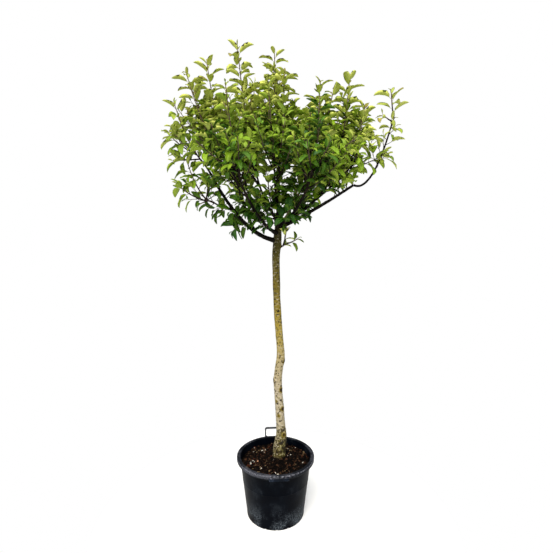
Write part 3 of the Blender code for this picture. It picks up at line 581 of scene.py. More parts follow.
def make_bail(azimuth, lean):
    """One bail with its two pins."""
    parts = [skin(rim_place(bail_rings(), azimuth, lean))]
    for way in (-1, 1):
        foot = way * HANDLE_WIDTH / 2
        pin = bar_rings(foot, foot - way * (HANDLE_THICK / 2 + PIN_LENGTH), PIN_RADIUS, PIN_SIDES)
        parts.append(skin(rim_place(pin, azimuth, lean)))
    return parts


def join(parts):
    """Several (points, faces) as one."""
    points = np.concatenate([part[0] for part in parts])
    starts = np.cumsum([0] + [len(part[0]) for part in parts[:-1]])
    faces = [face + start for (_, group), start in zip(parts, starts) for face in group]
    return points, faces


lug_parts = []
for side, azimuth, lean in HANDLES:
    bail = add_piece("bail_" + side, *join(make_bail(azimuth, lean)), [handle_plastic],
                     body=side + "_handle", sharp=50)
    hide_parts("handle_" + side)
    for way in (-1, 1):
        outer = way * (HANDLE_WIDTH / 2 - HANDLE_THICK / 2 - LUG_CLEARANCE)
        lug = bar_rings(outer, outer - way * LUG_WIDTH, LUG_RADIUS, LUG_SIDES, 0.12)
        lug[..., 1] *= np.where(lug[..., 1] < 0, LUG_INWARDS, 1)
        lug_parts.append(skin(rim_place(lug, azimuth)))
lug_parts += [eyelet(azimuth) for azimuth in EYELETS]
lugs = add_piece("pot_lugs", *join(lug_parts), [rim_plastic], sharp=50)
print("bails:", len(HANDLES), "lugs and rings on the rim:", len(lug_parts))

# %% [markdown]
# ## The compost
# Potting compost for trees is mostly composted bark. Its bed is a lumpy surface:
# the same low swells as the solid under it, with lumps of three sizes added. It
# could be sculpted. A height for each place is quicker to change, and the trunk
# and the chips can ask it where the surface is.

# %% Compost bed
COMPOST_HEIGHT = 0.280
COMPOST_SWELL = 0.004
TRUNK_FOOT = np.array([0.018, 0.020])
SEAT_RADIUS = 0.048
MOUND_HEIGHT = 0.022  # the compost rises this much against the trunk
MOUND_WIDTH = 0.070
COMPOST_GAP = 0.0006  # between compost and pot
EDGE_WIDTH, EDGE_SINK = 0.02, 0.004  # the bed sinks a little along the wall
BED_RINGS, BED_SIDES = 90, 240
CRUMBS = ((0.030, 0.0022), (0.012, 0.0018), (0.005, 0.0012))  # size and height of the lumps
WALL_SLOPE = (WALL_TOP - WALL_FOOT) / (POT_HEIGHT - 2 * FOOT_BEVEL)


def compost_top(x, y):
    """Height of the bed: low swells, and a rise of mound x e^-(distance / width)^2 against the trunk."""
    swell = np.sin(21 * x + 1.0) * np.cos(17 * y - 0.6) + 0.5 * np.sin(43 * x - 31 * y)
    far = np.hypot(x - TRUNK_FOOT[0], y - TRUNK_FOOT[1])
    mound = MOUND_HEIGHT * np.exp(-(far / MOUND_WIDTH) ** 2)
    return COMPOST_HEIGHT + COMPOST_SWELL * swell / 1.5 * np.clip(far / SEAT_RADIUS - 1, 0, 1) + mound


def compost_crumbs(x, y):
    """Lumps of three sizes on the bed: the sum of height x noise."""
    spot = np.stack([x, y, 0 * x], -1)
    return sum(depth * lattice_noise(spot, cell, seed) for seed, (cell, depth) in enumerate(CRUMBS))


def compost_rings():
    """From the middle of the floor out, up the wall, and over the bed, sunk at its edge, to the middle."""
    edge = WALL_FOOT + WALL_SLOPE * (COMPOST_HEIGHT - 2 * FOOT_BEVEL) - POT_WALL - COMPOST_GAP
    foot = WALL_FOOT - POT_WALL - COMPOST_GAP
    side = np.array([(0.001, 0.0045), (foot - FOOT_BEVEL, 0.0045), (foot, 0.011),
                     (edge - 0.0015, COMPOST_HEIGHT - 0.012)])
    top = np.stack([np.linspace(edge - 0.001, 0.0005, BED_RINGS), np.full(BED_RINGS, COMPOST_HEIGHT)], -1)
    rings = spin_rings(np.concatenate([side, top]), BED_SIDES)
    x, y, z = np.moveaxis(rings[0, len(side):], -1, 0)
    rim = np.clip((edge - np.hypot(x, y)) / EDGE_WIDTH, 0, 1)
    z[:] = compost_top(x, y) + compost_crumbs(x, y) - EDGE_SINK * (1 - rim) ** 2
    return rings


def damp_bark(name, low, high, roughness):
    """Composted or chipped bark, wet and broken, so dark, dull and rough: two browns by a noise of 3 mm."""
    material, tree, shader, place = new_material(name)
    grain = put(tree, "TexNoise", {"Vector": place, "Scale": per_metre(3), "Detail": 6.0, "Roughness": 0.7})
    colour = put(tree, "ValToRGB", (grain,), stops=((0.36, low), (0.66, high)))
    # bark fibres are 0.2 mm wide in life: they are drawn at 1 mm to show
    fibre = put(tree, "TexNoise", {"Vector": place, "Scale": per_metre(1), "Detail": 3.0})
    relief = put(tree, "Bump", {"Height": fibre, "Distance": 0.0005})
    wire(tree, shader, {"Base Color": colour, "Roughness": roughness, "IOR": 1.40, "Specular IOR Level": 0.05,
                        "Normal": relief})
    return material


bed_points, bed_faces = skin(compost_rings())
bed_material = damp_bark("damp_composted_bark", "#010101", "#0a0604", 0.8)
bed = add_piece("compost_bed", bed_points, bed_faces, [bed_material])
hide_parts("compost")
print("bed:", triangles(bed), "triangles, top at", round(float(bed_points[:, 2].max()), 4))

# %% [markdown]
# ## Loose chips
# Chips of bark and wood lie all over the bed, most of them near black and a few
# pale. A particle system could scatter them, but joined arrays export as they
# are, so each chip is a flake of fourteen points, and numpy places and turns all
# of them at once. The few large ones that catch the eye have places of their own.

# %% Bark chips
CHIP_COUNT = 1700
CHIP_SPREAD = 0.172
TRUNK_CLEARANCE = 0.040
CHIP_LEAST, CHIP_MORE = 0.0034, 0.0100  # half the least length, and what the longest has more
CHIP_TIP = 0.35  # how far chips lie off level, in radians
# name, two browns, share of the chips
CHIP_TONES = (
    ("black_bark_chip", "#020101", "#0c0806", 0.44),
    ("umber_bark_chip", "#100905", "#22160e", 0.33),
    ("brown_bark_chip", "#2b1b11", "#483121", 0.145),
    ("rust_bark_chip", "#33150a", "#4c2717", 0.045),
    ("tan_wood_chip", "#554633", "#786749", 0.030),
    ("pale_wood_chip", "#9d9587", "#c8c3b8", 0.010),
    ("orange_bark_chip", "#b9805c", "#e0ae8c", 0.0),
)
# x, y, half length and breadth, direction in degrees and tone of the few chips that catch the eye
LARGE_CHIPS = (
    (-0.090, -0.015, 0.0090, 0.0050, 35.0, 6),
    (-0.109, -0.020, 0.0100, 0.0030, 80.0, 5),
    (-0.116, -0.012, 0.0060, 0.0030, 10.0, 5),
    (0.000, -0.117, 0.0110, 0.0022, 115.0, 5),
    (0.010, -0.128, 0.0080, 0.0026, 60.0, 5),
    (0.070, -0.106, 0.0120, 0.0020, 130.0, 5),
    (-0.085, -0.112, 0.0110, 0.0042, 25.0, 4),
    (-0.052, -0.136, 0.0100, 0.0036, 165.0, 4),
    (-0.028, -0.129, 0.0080, 0.0040, 50.0, 3),
    (-0.060, 0.062, 0.0090, 0.0024, 100.0, 5),
    (0.098, -0.058, 0.0090, 0.0022, 70.0, 4),
    (-0.130, -0.066, 0.0090, 0.0040, 15.0, 3),
    (0.048, -0.096, 0.0080, 0.0030, 20.0, 4),
    (0.116, 0.012, 0.0070, 0.0026, 140.0, 4),
)


def chip_points(count, rng):
    """Irregular flakes of unit size: two jittered rings of six points each."""
    angle = np.arange(6) * np.pi / 3 + rng.uniform(-0.35, 0.35, (count, 2, 6))
    reach = rng.uniform(0.6, 1.0, (count, 2, 6)) * np.array([1.0, 0.75])[:, None]
    height = np.array([-0.5, 0.5])[:, None] + rng.uniform(-0.2, 0.2, (count, 2, 6))
    return np.stack([reach * np.cos(angle), reach * np.sin(angle), height], -1)


def turned(points, yaw, pitch, roll):
    """Turn each row of points about X by roll, Y by pitch and Z by yaw."""
    x, y, z = np.moveaxis(points, -1, 0)
    yaw, pitch, roll = (a.reshape(-1, *[1] * (x.ndim - 1)) for a in (yaw, pitch, roll))
    y, z = y * np.cos(roll) - z * np.sin(roll), y * np.sin(roll) + z * np.cos(roll)
    x, z = x * np.cos(pitch) + z * np.sin(pitch), z * np.cos(pitch) - x * np.sin(pitch)
    x, y = x * np.cos(yaw) - y * np.sin(yaw), x * np.sin(yaw) + y * np.cos(yaw)
    return np.stack([x, y, z], -1)


def scatter_chips():
    """Flakes strewn evenly over the bed and tipped a little, most of them 7 to 20 mm long."""
    rng = np.random.default_rng(11)
    reach = CHIP_SPREAD * np.sqrt(rng.uniform(0, 1, CHIP_COUNT))
    turn = rng.uniform(0, 2 * np.pi, CHIP_COUNT)
    x, y = reach * np.cos(turn), reach * np.sin(turn)
    keep = np.hypot(x - TRUNK_FOOT[0], y - TRUNK_FOOT[1]) > TRUNK_CLEARANCE
    large_x, large_y, large_length, large_broad, large_yaw, large_tone = np.array(LARGE_CHIPS).T
    x, y = np.append(x[keep], large_x), np.append(y[keep], large_y)
    count = len(x)
    last = slice(count - len(LARGE_CHIPS), count)
    length = CHIP_LEAST + CHIP_MORE * rng.beta(1.2, 3.2, count)
    broad = length * rng.uniform(0.35, 0.8, count)
    yaw = rng.uniform(0, 2 * np.pi, count)
    length[last], broad[last], yaw[last] = large_length, large_broad, np.radians(large_yaw)
    size = np.stack([length, broad, np.minimum(length * rng.uniform(0.25, 0.5, count), broad)], -1)
    flakes = chip_points(count, rng) * size[:, None, None, :]
    flakes = turned(flakes, yaw, rng.normal(0, CHIP_TIP, count), rng.normal(0, CHIP_TIP, count))
    height = compost_top(x, y) + compost_crumbs(x, y) + size[:, 2] * 0.45
    flakes += np.stack([x, y, height], -1)[:, None, None, :]
    tone = rng.choice(len(CHIP_TONES), count, p=np.array([t[3] for t in CHIP_TONES]))
    tone[last] = large_tone
    return flakes, tone


flakes, tone = scatter_chips()
chip_mesh, chip_faces = skin(flakes)
chip_slots = np.concatenate([np.repeat(tone, len(part) // len(flakes)) for part in chip_faces])
chip_materials = [damp_bark(name, low, high, 0.6) for name, low, high, _ in CHIP_TONES]
chips = add_piece("bark_chips", chip_mesh, chip_faces, chip_materials, slots=chip_slots, sharp=30)
print("chips:", len(flakes), "with", triangles(chips), "triangles")

# %% [markdown]
# ## The trunk
# The trunk is a young stem grafted low down: a flare in the compost, a bend over
# the graft union, then a long clean stem to the fork. It could be sculpted. Here
# its surface is a function of angle and height: a middle and a radius eased
# between stations, times a relief of ripples, scars and knots.

# %% Trunk path
TRUNK_TOP = 1.560
TRUNK_SEAT = 0.2803  # the solid's flat foot
# height, middle x and y, radius
TRUNK_STATIONS = np.array([
    (TRUNK_SEAT, 0.018, 0.020, 0.0375),
    (0.310, 0.018, 0.020, 0.0335),
    (0.360, 0.023, 0.019, 0.0325),
    (0.414, 0.030, 0.017, 0.0280),
    (0.462, 0.027, 0.015, 0.0242),
    (0.616, 0.016, 0.010, 0.0220),
    (0.700, 0.011, 0.008, 0.0215),
    (0.768, 0.018, 0.007, 0.0212),
    (0.841, 0.026, 0.006, 0.0205),
    (0.918, 0.021, 0.005, 0.0190),
    (1.056, 0.010, 0.003, 0.0186),
    (1.182, 0.005, 0.001, 0.0184),
    (1.336, 0.003, 0.000, 0.0192),
    (1.420, 0.010, 0.000, 0.0205),
    (1.500, 0.014, 0.000, 0.0150),
    (TRUNK_TOP, 0.014, 0.000, 0.0105),
])


def trunk_at(height):
    """Middle x, y and radius at heights: a cubic through the stations, sloped as their neighbours lie."""
    stops, values = TRUNK_STATIONS[:, 0], TRUNK_STATIONS[:, 1:]
    height = np.clip(np.atleast_1d(height), stops[0], stops[-1])
    k = np.clip(np.searchsorted(stops, height, side="right") - 1, 0, len(stops) - 2)
    before, after = np.maximum(k - 1, 0), np.minimum(k + 2, len(stops) - 1)
    span = (stops[k + 1] - stops[k])[:, None]
    t = ((height - stops[k])[:, None]) / span
    leave = span * (values[k + 1] - values[before]) / (stops[k + 1] - stops[before])[:, None]
    arrive = span * (values[after] - values[k]) / (stops[after] - stops[k])[:, None]
    rise = 3 * t ** 2 - 2 * t ** 3
    return (values[k] + (values[k + 1] - values[k]) * rise
            + leave * (t ** 3 - 2 * t ** 2 + t) + arrive * (t ** 3 - t ** 2))


print("trunk radius at the foot, graft and fork:", np.round(trunk_at([0.29, 0.84, 1.42])[:, 2], 4))

# %% [markdown]
# ## Bark relief
# Young apple bark is smooth, with fine rings round the stem, lenticels, and scars
# where side shoots were pruned off. Rings come from noise stretched round the
# stem, scars from a list of places with the size of each, because the photograph
# shows where they are.

# %% Trunk relief
TRUNK_BOTTOM = 0.2790  # the bark ends under the raised bed
TRUNK_RINGS, TRUNK_SIDES = 760, 84
FLARE_FADE = 0.045  # height over which the flutes of the foot fade
FLUTES = ((0.0022, 5, 1.2), (0.0014, 3, -0.7))  # how far they stand out, how many, and their turn
# stretch, cell and seed of the noises: lumps along the stem, fine rings round it, and lenticels
BARK_NOISES = (((1, 1, 0.35), 0.022, 3), ((0.22, 0.22, 1.0), 0.0045, 5), ((0.30, 0.30, 1.0), 0.011, 7))
LUMP, RING, LENTICEL = 0.0011, 0.00065, 0.0012  # how high or deep each of them is
RIPPLE = 0.0007  # height of the wrinkles round a knot
# height, direction in degrees, size, how far it stands out, depth of the pit in its middle
KNOTS = (
    (0.418, -62.0, 0.011, 0.0022, 0.0030),
    (0.520, -107.0, 0.009, 0.0016, 0.0015),
    (0.555, -46.0, 0.011, 0.0026, 0.0022),
    (0.597, -131.0, 0.008, 0.0014, 0.0012),
    (0.655, -42.0, 0.011, 0.0030, 0.0034),
    (0.705, -170.0, 0.010, 0.0032, 0.0010),
    (0.803, -5.0, 0.012, 0.0040, 0.0012),
    (0.930, 150.0, 0.009, 0.0026, 0.0020),
    (1.020, -70.0, 0.007, 0.0012, 0.0012),
    (1.197, -128.0, 0.008, 0.0018, 0.0012),
    (1.250, -150.0, 0.007, 0.0012, 0.0012),
    (1.330, 35.0, 0.007, 0.0018, 0.0012),
    (1.386, -5.0, 0.008, 0.0040, 0.0),
)
KNOT_DARK = 0.0026  # a knot that stands out this far is as dark as can be


def knot_reach(angle, height, radius):
    """For each knot, the distance from its middle over the bark, as a share of its size."""
    for stop, turn, size, stand, pit in KNOTS:
        apart = (angle - math.radians(turn) + np.pi) % (2 * np.pi) - np.pi
        yield np.hypot(apart * radius, (height - stop) * 0.85) / size, stand, pit


def trunk_relief(angle, height, radius):
    """Height of the bark over the plain stem: flutes, rings, lenticels and knots."""
    round_stem = np.stack([np.cos(angle), np.sin(angle), 0 * angle], -1) * radius[..., None]
    stem_spot = round_stem + np.stack([0 * height, 0 * height, height], -1)
    flutes = sum(stand * np.cos(count * angle + turn) for stand, count, turn in FLUTES)
    lumps, rings, slits = (lattice_noise(stem_spot * stretch, cell, seed)
                           for stretch, cell, seed in BARK_NOISES)
    low_bark = np.clip((1.0 - height) / 0.35, 0.25, 1.0)
    relief = flutes * np.exp(-(height - TRUNK_SEAT) / FLARE_FADE)
    relief += LUMP * lumps
    relief += RING * rings * low_bark
    relief -= LENTICEL * np.clip(slits - 0.35, 0, 1) * low_bark
    for far, stand, pit in knot_reach(angle, height, radius):
        relief += stand * np.exp(-far ** 2) - pit * np.exp(-(far / 0.42) ** 2)
        relief += RIPPLE * np.cos(far * 5.0) * np.exp(-(far / 1.3) ** 2)
    return relief


def trunk_rings():
    """Level rings from the compost to the fork, closer at the flare, and how dark a knot makes each point."""
    height = TRUNK_BOTTOM + (TRUNK_TOP - TRUNK_BOTTOM) * np.linspace(0, 1, TRUNK_RINGS) ** 1.08
    height[-1] = TRUNK_TOP
    middle = trunk_at(height)
    angle, level = np.meshgrid(circle(TRUNK_SIDES), height)
    radius = np.broadcast_to(middle[:, 2:], angle.shape)
    wide = radius + trunk_relief(angle, level, radius)
    dark = sum(stand / KNOT_DARK * np.exp(-(far / 0.95) ** 2)
               for far, stand, _ in knot_reach(angle, level, radius))
    rings = np.stack([middle[:, :1] + wide * np.cos(angle), middle[:, 1:2] + wide * np.sin(angle), level], -1)
    return rings[None], np.append(np.clip(dark, 0, 1).ravel(), [0, 0])


stem_rings, knot_share = trunk_rings()
print("rings on the trunk:", stem_rings.shape[1], "knots:", len(KNOTS))

# %% [markdown]
# ## Bark colours
# The bark's colour runs with height, from a mossy foot that turns near black where
# it meets the compost, to a pale graft, a golden middle and an olive top. Coats lie
# over it in turn: a film of pale skin, dark olive patches at the foot and more on
# its right side, which are partly moss and partly painted shade, cracks, and a dark
# stain round each knot, which a number on every point of the surface gives the
# material.

# %% Trunk surface
def stem_bark():
    """Young apple bark: a colour by height, then coats of pale film, moss with painted shade, cracks and knot
    stains over it.
    """
    material, tree, shader, place = new_material("young_apple_bark")
    right, _, height = put(tree, "SeparateXYZ", (place,)).outputs
    # film and cracks run round the stem: their noise is stretched sideways, and drawn coarser than life
    ringed, banded = (put(tree, "Mapping", {"Vector": place, "Scale": (flat, flat, 1.0)})
                      for flat in (0.5, 0.25))
    sway, blotch, film, tuft, scar = (
        put(tree, "TexNoise",
            {"Vector": spot, "Scale": per_metre(size), "Detail": detail, "Roughness": rough})
        for spot, size, detail, rough in (
            (place, 60, 3.0, 0.5), (place, 13, 6.0, 0.65), (ringed, 10, 5.0, 0.6), (place, 17, 6.0, 0.6),
            (banded, 11, 6.0, 0.7)))
    bent = put(tree, "Math", (sway, 0.16, height), operation="MULTIPLY_ADD")
    share = put(tree, "MapRange", (bent, 0.36, 1.64))
    colour = put(tree, "ValToRGB", (share,), stops=(
        (0.005, "#1c1508"), (0.035, "#6b5f3a"), (0.08, "#9f9474"), (0.28, "#a89b80"), (0.38, "#a3946e"),
        (0.46, "#a08d4c"), (0.56, "#9a8531"), (0.68, "#786822"), (0.82, "#5c531b"), (0.97, "#26210d")))
    pale = put(tree, "MapRange", (film, 0.54, 0.66, 0.0, 0.55))
    # dark olive patches at the foot, more of them on the right: partly moss, partly painted shade on that
    # side of the foot
    shaded = put(tree, "MapRange", (right, -0.004, 0.036, 0.05, 0.20))
    foot = put(tree, "MapRange", (height, 0.47, 0.37))
    moss_and_shade_share = put(tree, "Math", (shaded, foot, blotch), operation="MULTIPLY_ADD")
    moss_and_shade_cover = put(tree, "MapRange", (moss_and_shade_share, 0.54, 0.57, 0.0, 0.95))
    moss_and_shade_colour = put(tree, "ValToRGB", (tuft,), stops=(
        (0.44, "#110a04"), (0.51, "#33290d"), (0.58, "#58511e"), (0.68, "#a89e74")))
    crack = put(tree, "MapRange", (scar, 0.57, 0.70, 0.0, 0.60))
    knot = put(tree, "Attribute", (), attribute_name="knot").outputs["Fac"]
    stain = put(tree, "ValToRGB", (knot,), stops=((0.30, "#7d6c18"), (0.75, "#2b1c08")))
    near = put(tree, "MapRange", (knot, 0.05, 0.45))
    for cover, coat in ((pale, linear("#d2c6b0")), (moss_and_shade_cover, moss_and_shade_colour), (crack, linear("#4a3a18")), (near, stain)):
        colour = put(tree, "Mix", {FACTOR: cover, FIRST: colour, SECOND: coat},
                     data_type="RGBA").outputs[BLENDED]
    relief = put(tree, "Bump", {"Height": scar, "Distance": -0.0009})
    wire(tree, shader, {"Base Color": colour, "Roughness": 0.78, "IOR": 1.45, "Specular IOR Level": 0.25,
                        "Normal": relief})
    return material


trunk = add_piece("trunk_bark", *skin(stem_rings), [stem_bark()])
trunk.data.attributes.new("knot", "FLOAT", "POINT").data.foreach_set("value", knot_share.astype(np.float32))
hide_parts("trunk")
print("trunk:", triangles(trunk), "triangles")

# %% [markdown]
# ## The boughs
# Each bough leaves the trunk or another bough in a swollen collar, sags a little
# in its middle and tapers to where its leaves begin. A curve with a bevel could
# draw each. Here a path is a line with a sag, and its radius a number for each
# ring, so that every later cell can ask for a point on it.

# %% Bough paths
# name, parent, where it leaves (height on the trunk, share of a bough), end, sag, radius at foot and end
BOUGHS = (
    ("left_low", "trunk", 1.412, (-0.310, -0.030, 1.730), 0.072, 0.0120, 0.0062),
    ("left_mid", "left_low", 0.27, (-0.185, 0.030, 1.680), 0.008, 0.0078, 0.0054),
    ("left_under", "left_low", 0.58, (-0.290, -0.065, 1.590), 0.006, 0.0052, 0.0038),
    ("centre_left", "trunk", 1.505, (-0.055, -0.030, 1.620), 0.008, 0.0076, 0.0060),
    ("leader", "trunk", TRUNK_TOP, (0.016, 0.005, 1.680), 0.002, 0.0105, 0.0075),
    ("right_low", "trunk", 1.470, (0.373, -0.040, 1.677), 0.008, 0.0098, 0.0058),
    ("right_tip", "right_low", 1.0, (0.5435, -0.050, 1.946), 0.088, 0.0056, 0.0036),
    ("right_mid", "trunk", 1.504, (0.270, 0.050, 1.700), 0.036, 0.0092, 0.0058),
    ("right_outer", "right_mid", 0.66, (0.335, -0.010, 1.735), 0.006, 0.0050, 0.0038),
    ("right_inner", "trunk", 1.528, (0.115, -0.055, 1.640), 0.008, 0.0074, 0.0058),
    ("front_left", "trunk", 1.448, (-0.115, -0.190, 1.585), 0.026, 0.0090, 0.0062),
    ("front_right", "trunk", 1.488, (0.125, -0.200, 1.610), 0.026, 0.0086, 0.0062),
    ("front_mid", "trunk", 1.520, (0.000, -0.105, 1.650), 0.010, 0.0070, 0.0056),
    ("back_left", "trunk", 1.446, (-0.125, 0.195, 1.610), 0.028, 0.0092, 0.0062),
    ("back_right", "trunk", 1.482, (0.150, 0.185, 1.620), 0.028, 0.0090, 0.0062),
    ("back_mid", "trunk", 1.516, (0.018, 0.110, 1.700), 0.010, 0.0074, 0.0058),
)
BOUGH_RINGS = 72
BOUGH_SIDES = 18
COLLAR = 0.030  # how far the swelling at a bough's foot reaches


def sagging_path(start, end, sag, count):
    """A straight line that hangs below itself by sag x 4t(1 - t)."""
    t = np.linspace(0, 1, count)[:, None]
    return start + (end - start) * t - np.array([0, 0, sag]) * 4 * t * (1 - t)


def point_along(path, share):
    """Points at shares of a path's length."""
    run = np.concatenate([[0], np.cumsum(np.linalg.norm(np.diff(path, axis=0), axis=1))])
    return np.stack([np.interp(np.atleast_1d(share) * run[-1], run, path[:, c]) for c in range(3)], -1)


def path_length(path):
    """Length of a path."""
    return float(np.linalg.norm(np.diff(path, axis=0), axis=1).sum())


bough_paths = {}
bough_radii = {}
for name, parent, leave, end, sag, foot, tip in BOUGHS:
    if parent == "trunk":
        start = np.array([*trunk_at(leave)[0, :2], leave])
    else:
        start = point_along(bough_paths[parent], leave)[0]
    bough_paths[name] = sagging_path(start, np.array(end), sag, BOUGH_RINGS)
    reach = np.linspace(0, path_length(bough_paths[name]), BOUGH_RINGS)
    swell = 0.0 if leave in (1.0, TRUNK_TOP) else 0.55
    bough_radii[name] = np.linspace(foot, tip, BOUGH_RINGS) * (1 + swell * np.exp(-(reach / COLLAR) ** 2))
print("boughs:", len(bough_paths), "longest:", round(max(path_length(p) for p in bough_paths.values()), 3))

# %% [markdown]
# ## The boughs' bark
# The boughs are darker than the trunk: their bark is coloured almost black all
# over, as painted shade from the crown above them, and has a rough skin. All of
# them are tubes of the same number of rings, so one array holds them, and noise
# pushes their rings in and out.

# %% Bough surfaces
def limb_bark(name, low, high, roughness=0.62):
    """Thin dull bark: two browns by a noise of 12 mm, and ridges drawn at 4 mm, coarser than life."""
    material, tree, shader, place = new_material(name)
    grain = put(tree, "TexNoise", {"Vector": place, "Scale": per_metre(12), "Detail": 6.0, "Roughness": 0.65})
    colour = put(tree, "ValToRGB", (grain,), stops=((0.36, low), (0.68, high)))
    ridge = put(tree, "TexNoise", {"Vector": place, "Scale": per_metre(4), "Detail": 4.0})
    relief = put(tree, "Bump", {"Height": ridge, "Distance": 0.0008})
    wire(tree, shader, {"Base Color": colour, "Roughness": roughness, "IOR": 1.45, "Specular IOR Level": 0.10,
                        "Normal": relief})
    return material


def bough_rings():
    """All boughs as rough tubes: the plain rings pushed in and out by noise."""
    paths = np.stack(list(bough_paths.values()))
    radii = np.stack(list(bough_radii.values()))
    rings = tube_rings(paths, radii, BOUGH_SIDES)
    out = rings - paths[:, :, None, :]
    rough = 0.10 * lattice_noise(rings, 0.014, 21) + 0.07 * lattice_noise(rings, 0.006, 22)
    return paths[:, :, None, :] + out * (1 + rough[..., None])


# old bark, coloured almost black all over as painted shade from the crown: it gives the eye the dark lines
# that hold the crown together
bough_bark = limb_bark("bough_bark_painted_shade", "#090706", "#211a14")
boughs = add_piece("boughs_bark", *skin(bough_rings()), [bough_bark])
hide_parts(*["bough_" + name for name in bough_paths])
print("boughs:", triangles(boughs), "triangles")

# %% [markdown]
# ## How a mass of foliage grows
# Each mass has a stem that runs on from its bough, leading shoots that give the
# crown its outline, more shoots that fill it, and side twigs by the golden
# angle. The rule is the one that the solids were grown by, carried to finer
# twigs. A mass keeps to its own space: what lies nearer its middle than any
# other's, with heights counted less.

# %% Masses
# name, bough it grows on, middle of its space, ends of its leading shoots, number of filling shoots
MASSES = (
    ("left_far", "left_low", (-0.46, -0.03, 1.93),
     ((-0.51, -0.03, 1.92), (-0.48, -0.02, 2.06), (-0.50, 0.01, 1.80)), 5),
    ("left_high", "left_mid", (-0.35, 0.05, 2.10),
     ((-0.425, 0.00, 2.205), (-0.332, 0.03, 2.272), (-0.36, 0.12, 2.10)), 7),
    ("left_low", "left_under", (-0.40, -0.06, 1.62),
     ((-0.47, -0.04, 1.68), (-0.36, -0.08, 1.58), (-0.43, 0.00, 1.795), (-0.32, -0.03, 1.71)), 4),
    ("centre_left", "centre_left", (-0.16, -0.02, 2.06),
     ((-0.18, 0.00, 2.332), (-0.10, -0.06, 2.12), (-0.24, -0.05, 2.06)), 7),
    ("leader", "leader", (0.02, 0.00, 2.08),
     ((-0.005, -0.02, 2.293), (0.09, 0.03, 2.08)), 7),
    ("right_inner", "right_inner", (0.19, -0.05, 1.98),
     ((0.215, 0.00, 2.16), (0.275, 0.00, 2.12), (0.15, -0.10, 2.00)), 7),
    ("right_high", "right_mid", (0.36, 0.06, 2.00),
     ((0.362, 0.04, 2.20), (0.437, 0.02, 2.06), (0.36, 0.14, 2.05)), 7),
    ("right_far", "right_tip", (0.57, -0.05, 2.02),
     ((0.540, -0.05, 2.10), (0.500, -0.06, 2.00)), 0),
    ("right_outer", "right_outer", (0.42, -0.06, 1.84),
     ((0.405, -0.06, 1.97), (0.395, -0.02, 1.80), (0.35, -0.14, 1.88)), 5),
    ("front_left", "front_left", (-0.22, -0.33, 1.86),
     ((-0.33, -0.34, 1.86), (-0.20, -0.32, 2.04), (-0.14, -0.44, 1.80)), 6),
    ("front_right", "front_right", (0.22, -0.33, 1.86),
     ((0.33, -0.34, 1.83), (0.18, -0.32, 1.99), (0.12, -0.44, 1.79)), 6),
    ("front_mid", "front_mid", (-0.01, -0.24, 1.93),
     ((-0.03, -0.20, 2.09), (0.04, -0.30, 1.90)), 7),
    ("back_left", "back_left", (-0.24, 0.33, 1.94),
     ((-0.38, 0.34, 1.98), (-0.21, 0.32, 2.20), (-0.15, 0.45, 1.93)), 6),
    ("back_right", "back_right", (0.26, 0.33, 1.92),
     ((0.40, 0.33, 1.98), (0.23, 0.31, 2.12), (0.15, 0.45, 1.93)), 6),
    ("back_mid", "back_mid", (0.01, 0.22, 2.04),
     ((0.00, 0.18, 2.26), (0.06, 0.30, 2.08)), 7),
    ("fork", "trunk", (-0.02, -0.15, 1.56),
     ((-0.13, -0.15, 1.56), (0.07, -0.19, 1.56), (-0.04, -0.18, 1.73), (-0.05, -0.10, 1.475)), 1),
    ("sprout", "trunk", (0.10, -0.03, 1.42),
     ((0.112, -0.035, 1.425), (0.055, -0.025, 1.475)), 0),
)
# height and direction in degrees of the stems that leave the trunk itself
TRUNK_STEMS = {"fork": (1.470, -103.0), "sprout": (1.375, -14.0)}
MIDDLES = np.array([mass[2] for mass in MASSES])
HEIGHT_WEIGHT = np.array([1.0, 1.0, 0.4])
GOLDEN_ANGLE = math.radians(137.5)
SPACE_OVERLAP = 0.020  # how far a leaf may reach over the border of its mass
PATH_POINTS = 14


def inside(owner, places, overlap=SPACE_OVERLAP):
    """True where places lie in a mass's space: on its side of the plane halfway to each other mass."""
    own = MIDDLES[owner] * HEIGHT_WEIGHT
    others = np.delete(MIDDLES, owner, axis=0) * HEIGHT_WEIGHT
    way = unit(others - own)
    past = np.einsum("...c,oc->...o", places * HEIGHT_WEIGHT, way) - np.sum((own + others) / 2 * way, -1)
    return (past < overlap).all(axis=-1)


def curve_up(start, end, share=0.55, lift=0.28, count=PATH_POINTS):
    """A path that runs outwards first and then upwards: a Bezier whose bend lies low and outside."""
    return bezier(start, start + (end - start) * np.array([share, share, lift]), end, count)


print("masses:", len(MASSES), "leading shoots:", sum(len(mass[3]) for mass in MASSES))

# %% [markdown]
# ## Wood of a mass
# The wood is worked out before any leaf: the stem, the leading shoots, the shoots
# that fill the space below them, and twigs along all of these. A shoot runs
# outwards first and then turns up to the light. Each is a short path with a
# radius, and the leaves of later cells stand on these paths.

# %% Wood of a mass
STEM_BEND = 0.4  # share of a stem's run for which it keeps its bough's direction
STEM_RADIUS = 0.0054
SHOOT_RADIUS = 0.0040
FILLING_RADIUS = 0.0034
TWIG_RADIUS = 0.0019
TWIG_PITCH = 0.054
TWIG_LENGTH = 0.075
TWIG_LIFT = 0.45
TWIG_ANGLE = math.radians(50)
TWIG_SHARES = (0.10, 0.62)  # where along a shoot the side twigs stand
FILLING_REACH = 0.15
FILLING_HEIGHTS = (-0.12, 0.15)  # ends of filling shoots, against the middle of the mass
FILLING_BELOW = 0.06  # how far they stay below the leading shoots near them
FILLING_SIDES = (-0.515, 0.56)  # how far out to the left and right they may end


def stem_start(name, bough):
    """Where a mass's stem begins, and its direction there."""
    if name in TRUNK_STEMS:
        height, turn = TRUNK_STEMS[name]
        x, y, _ = trunk_at(height)[0]
        turn = math.radians(turn)
        return np.array([x, y, height]), np.array([math.cos(turn), math.sin(turn), 0.0])
    path = bough_paths[bough]
    return path[-1], unit(path[-1] - path[-2])


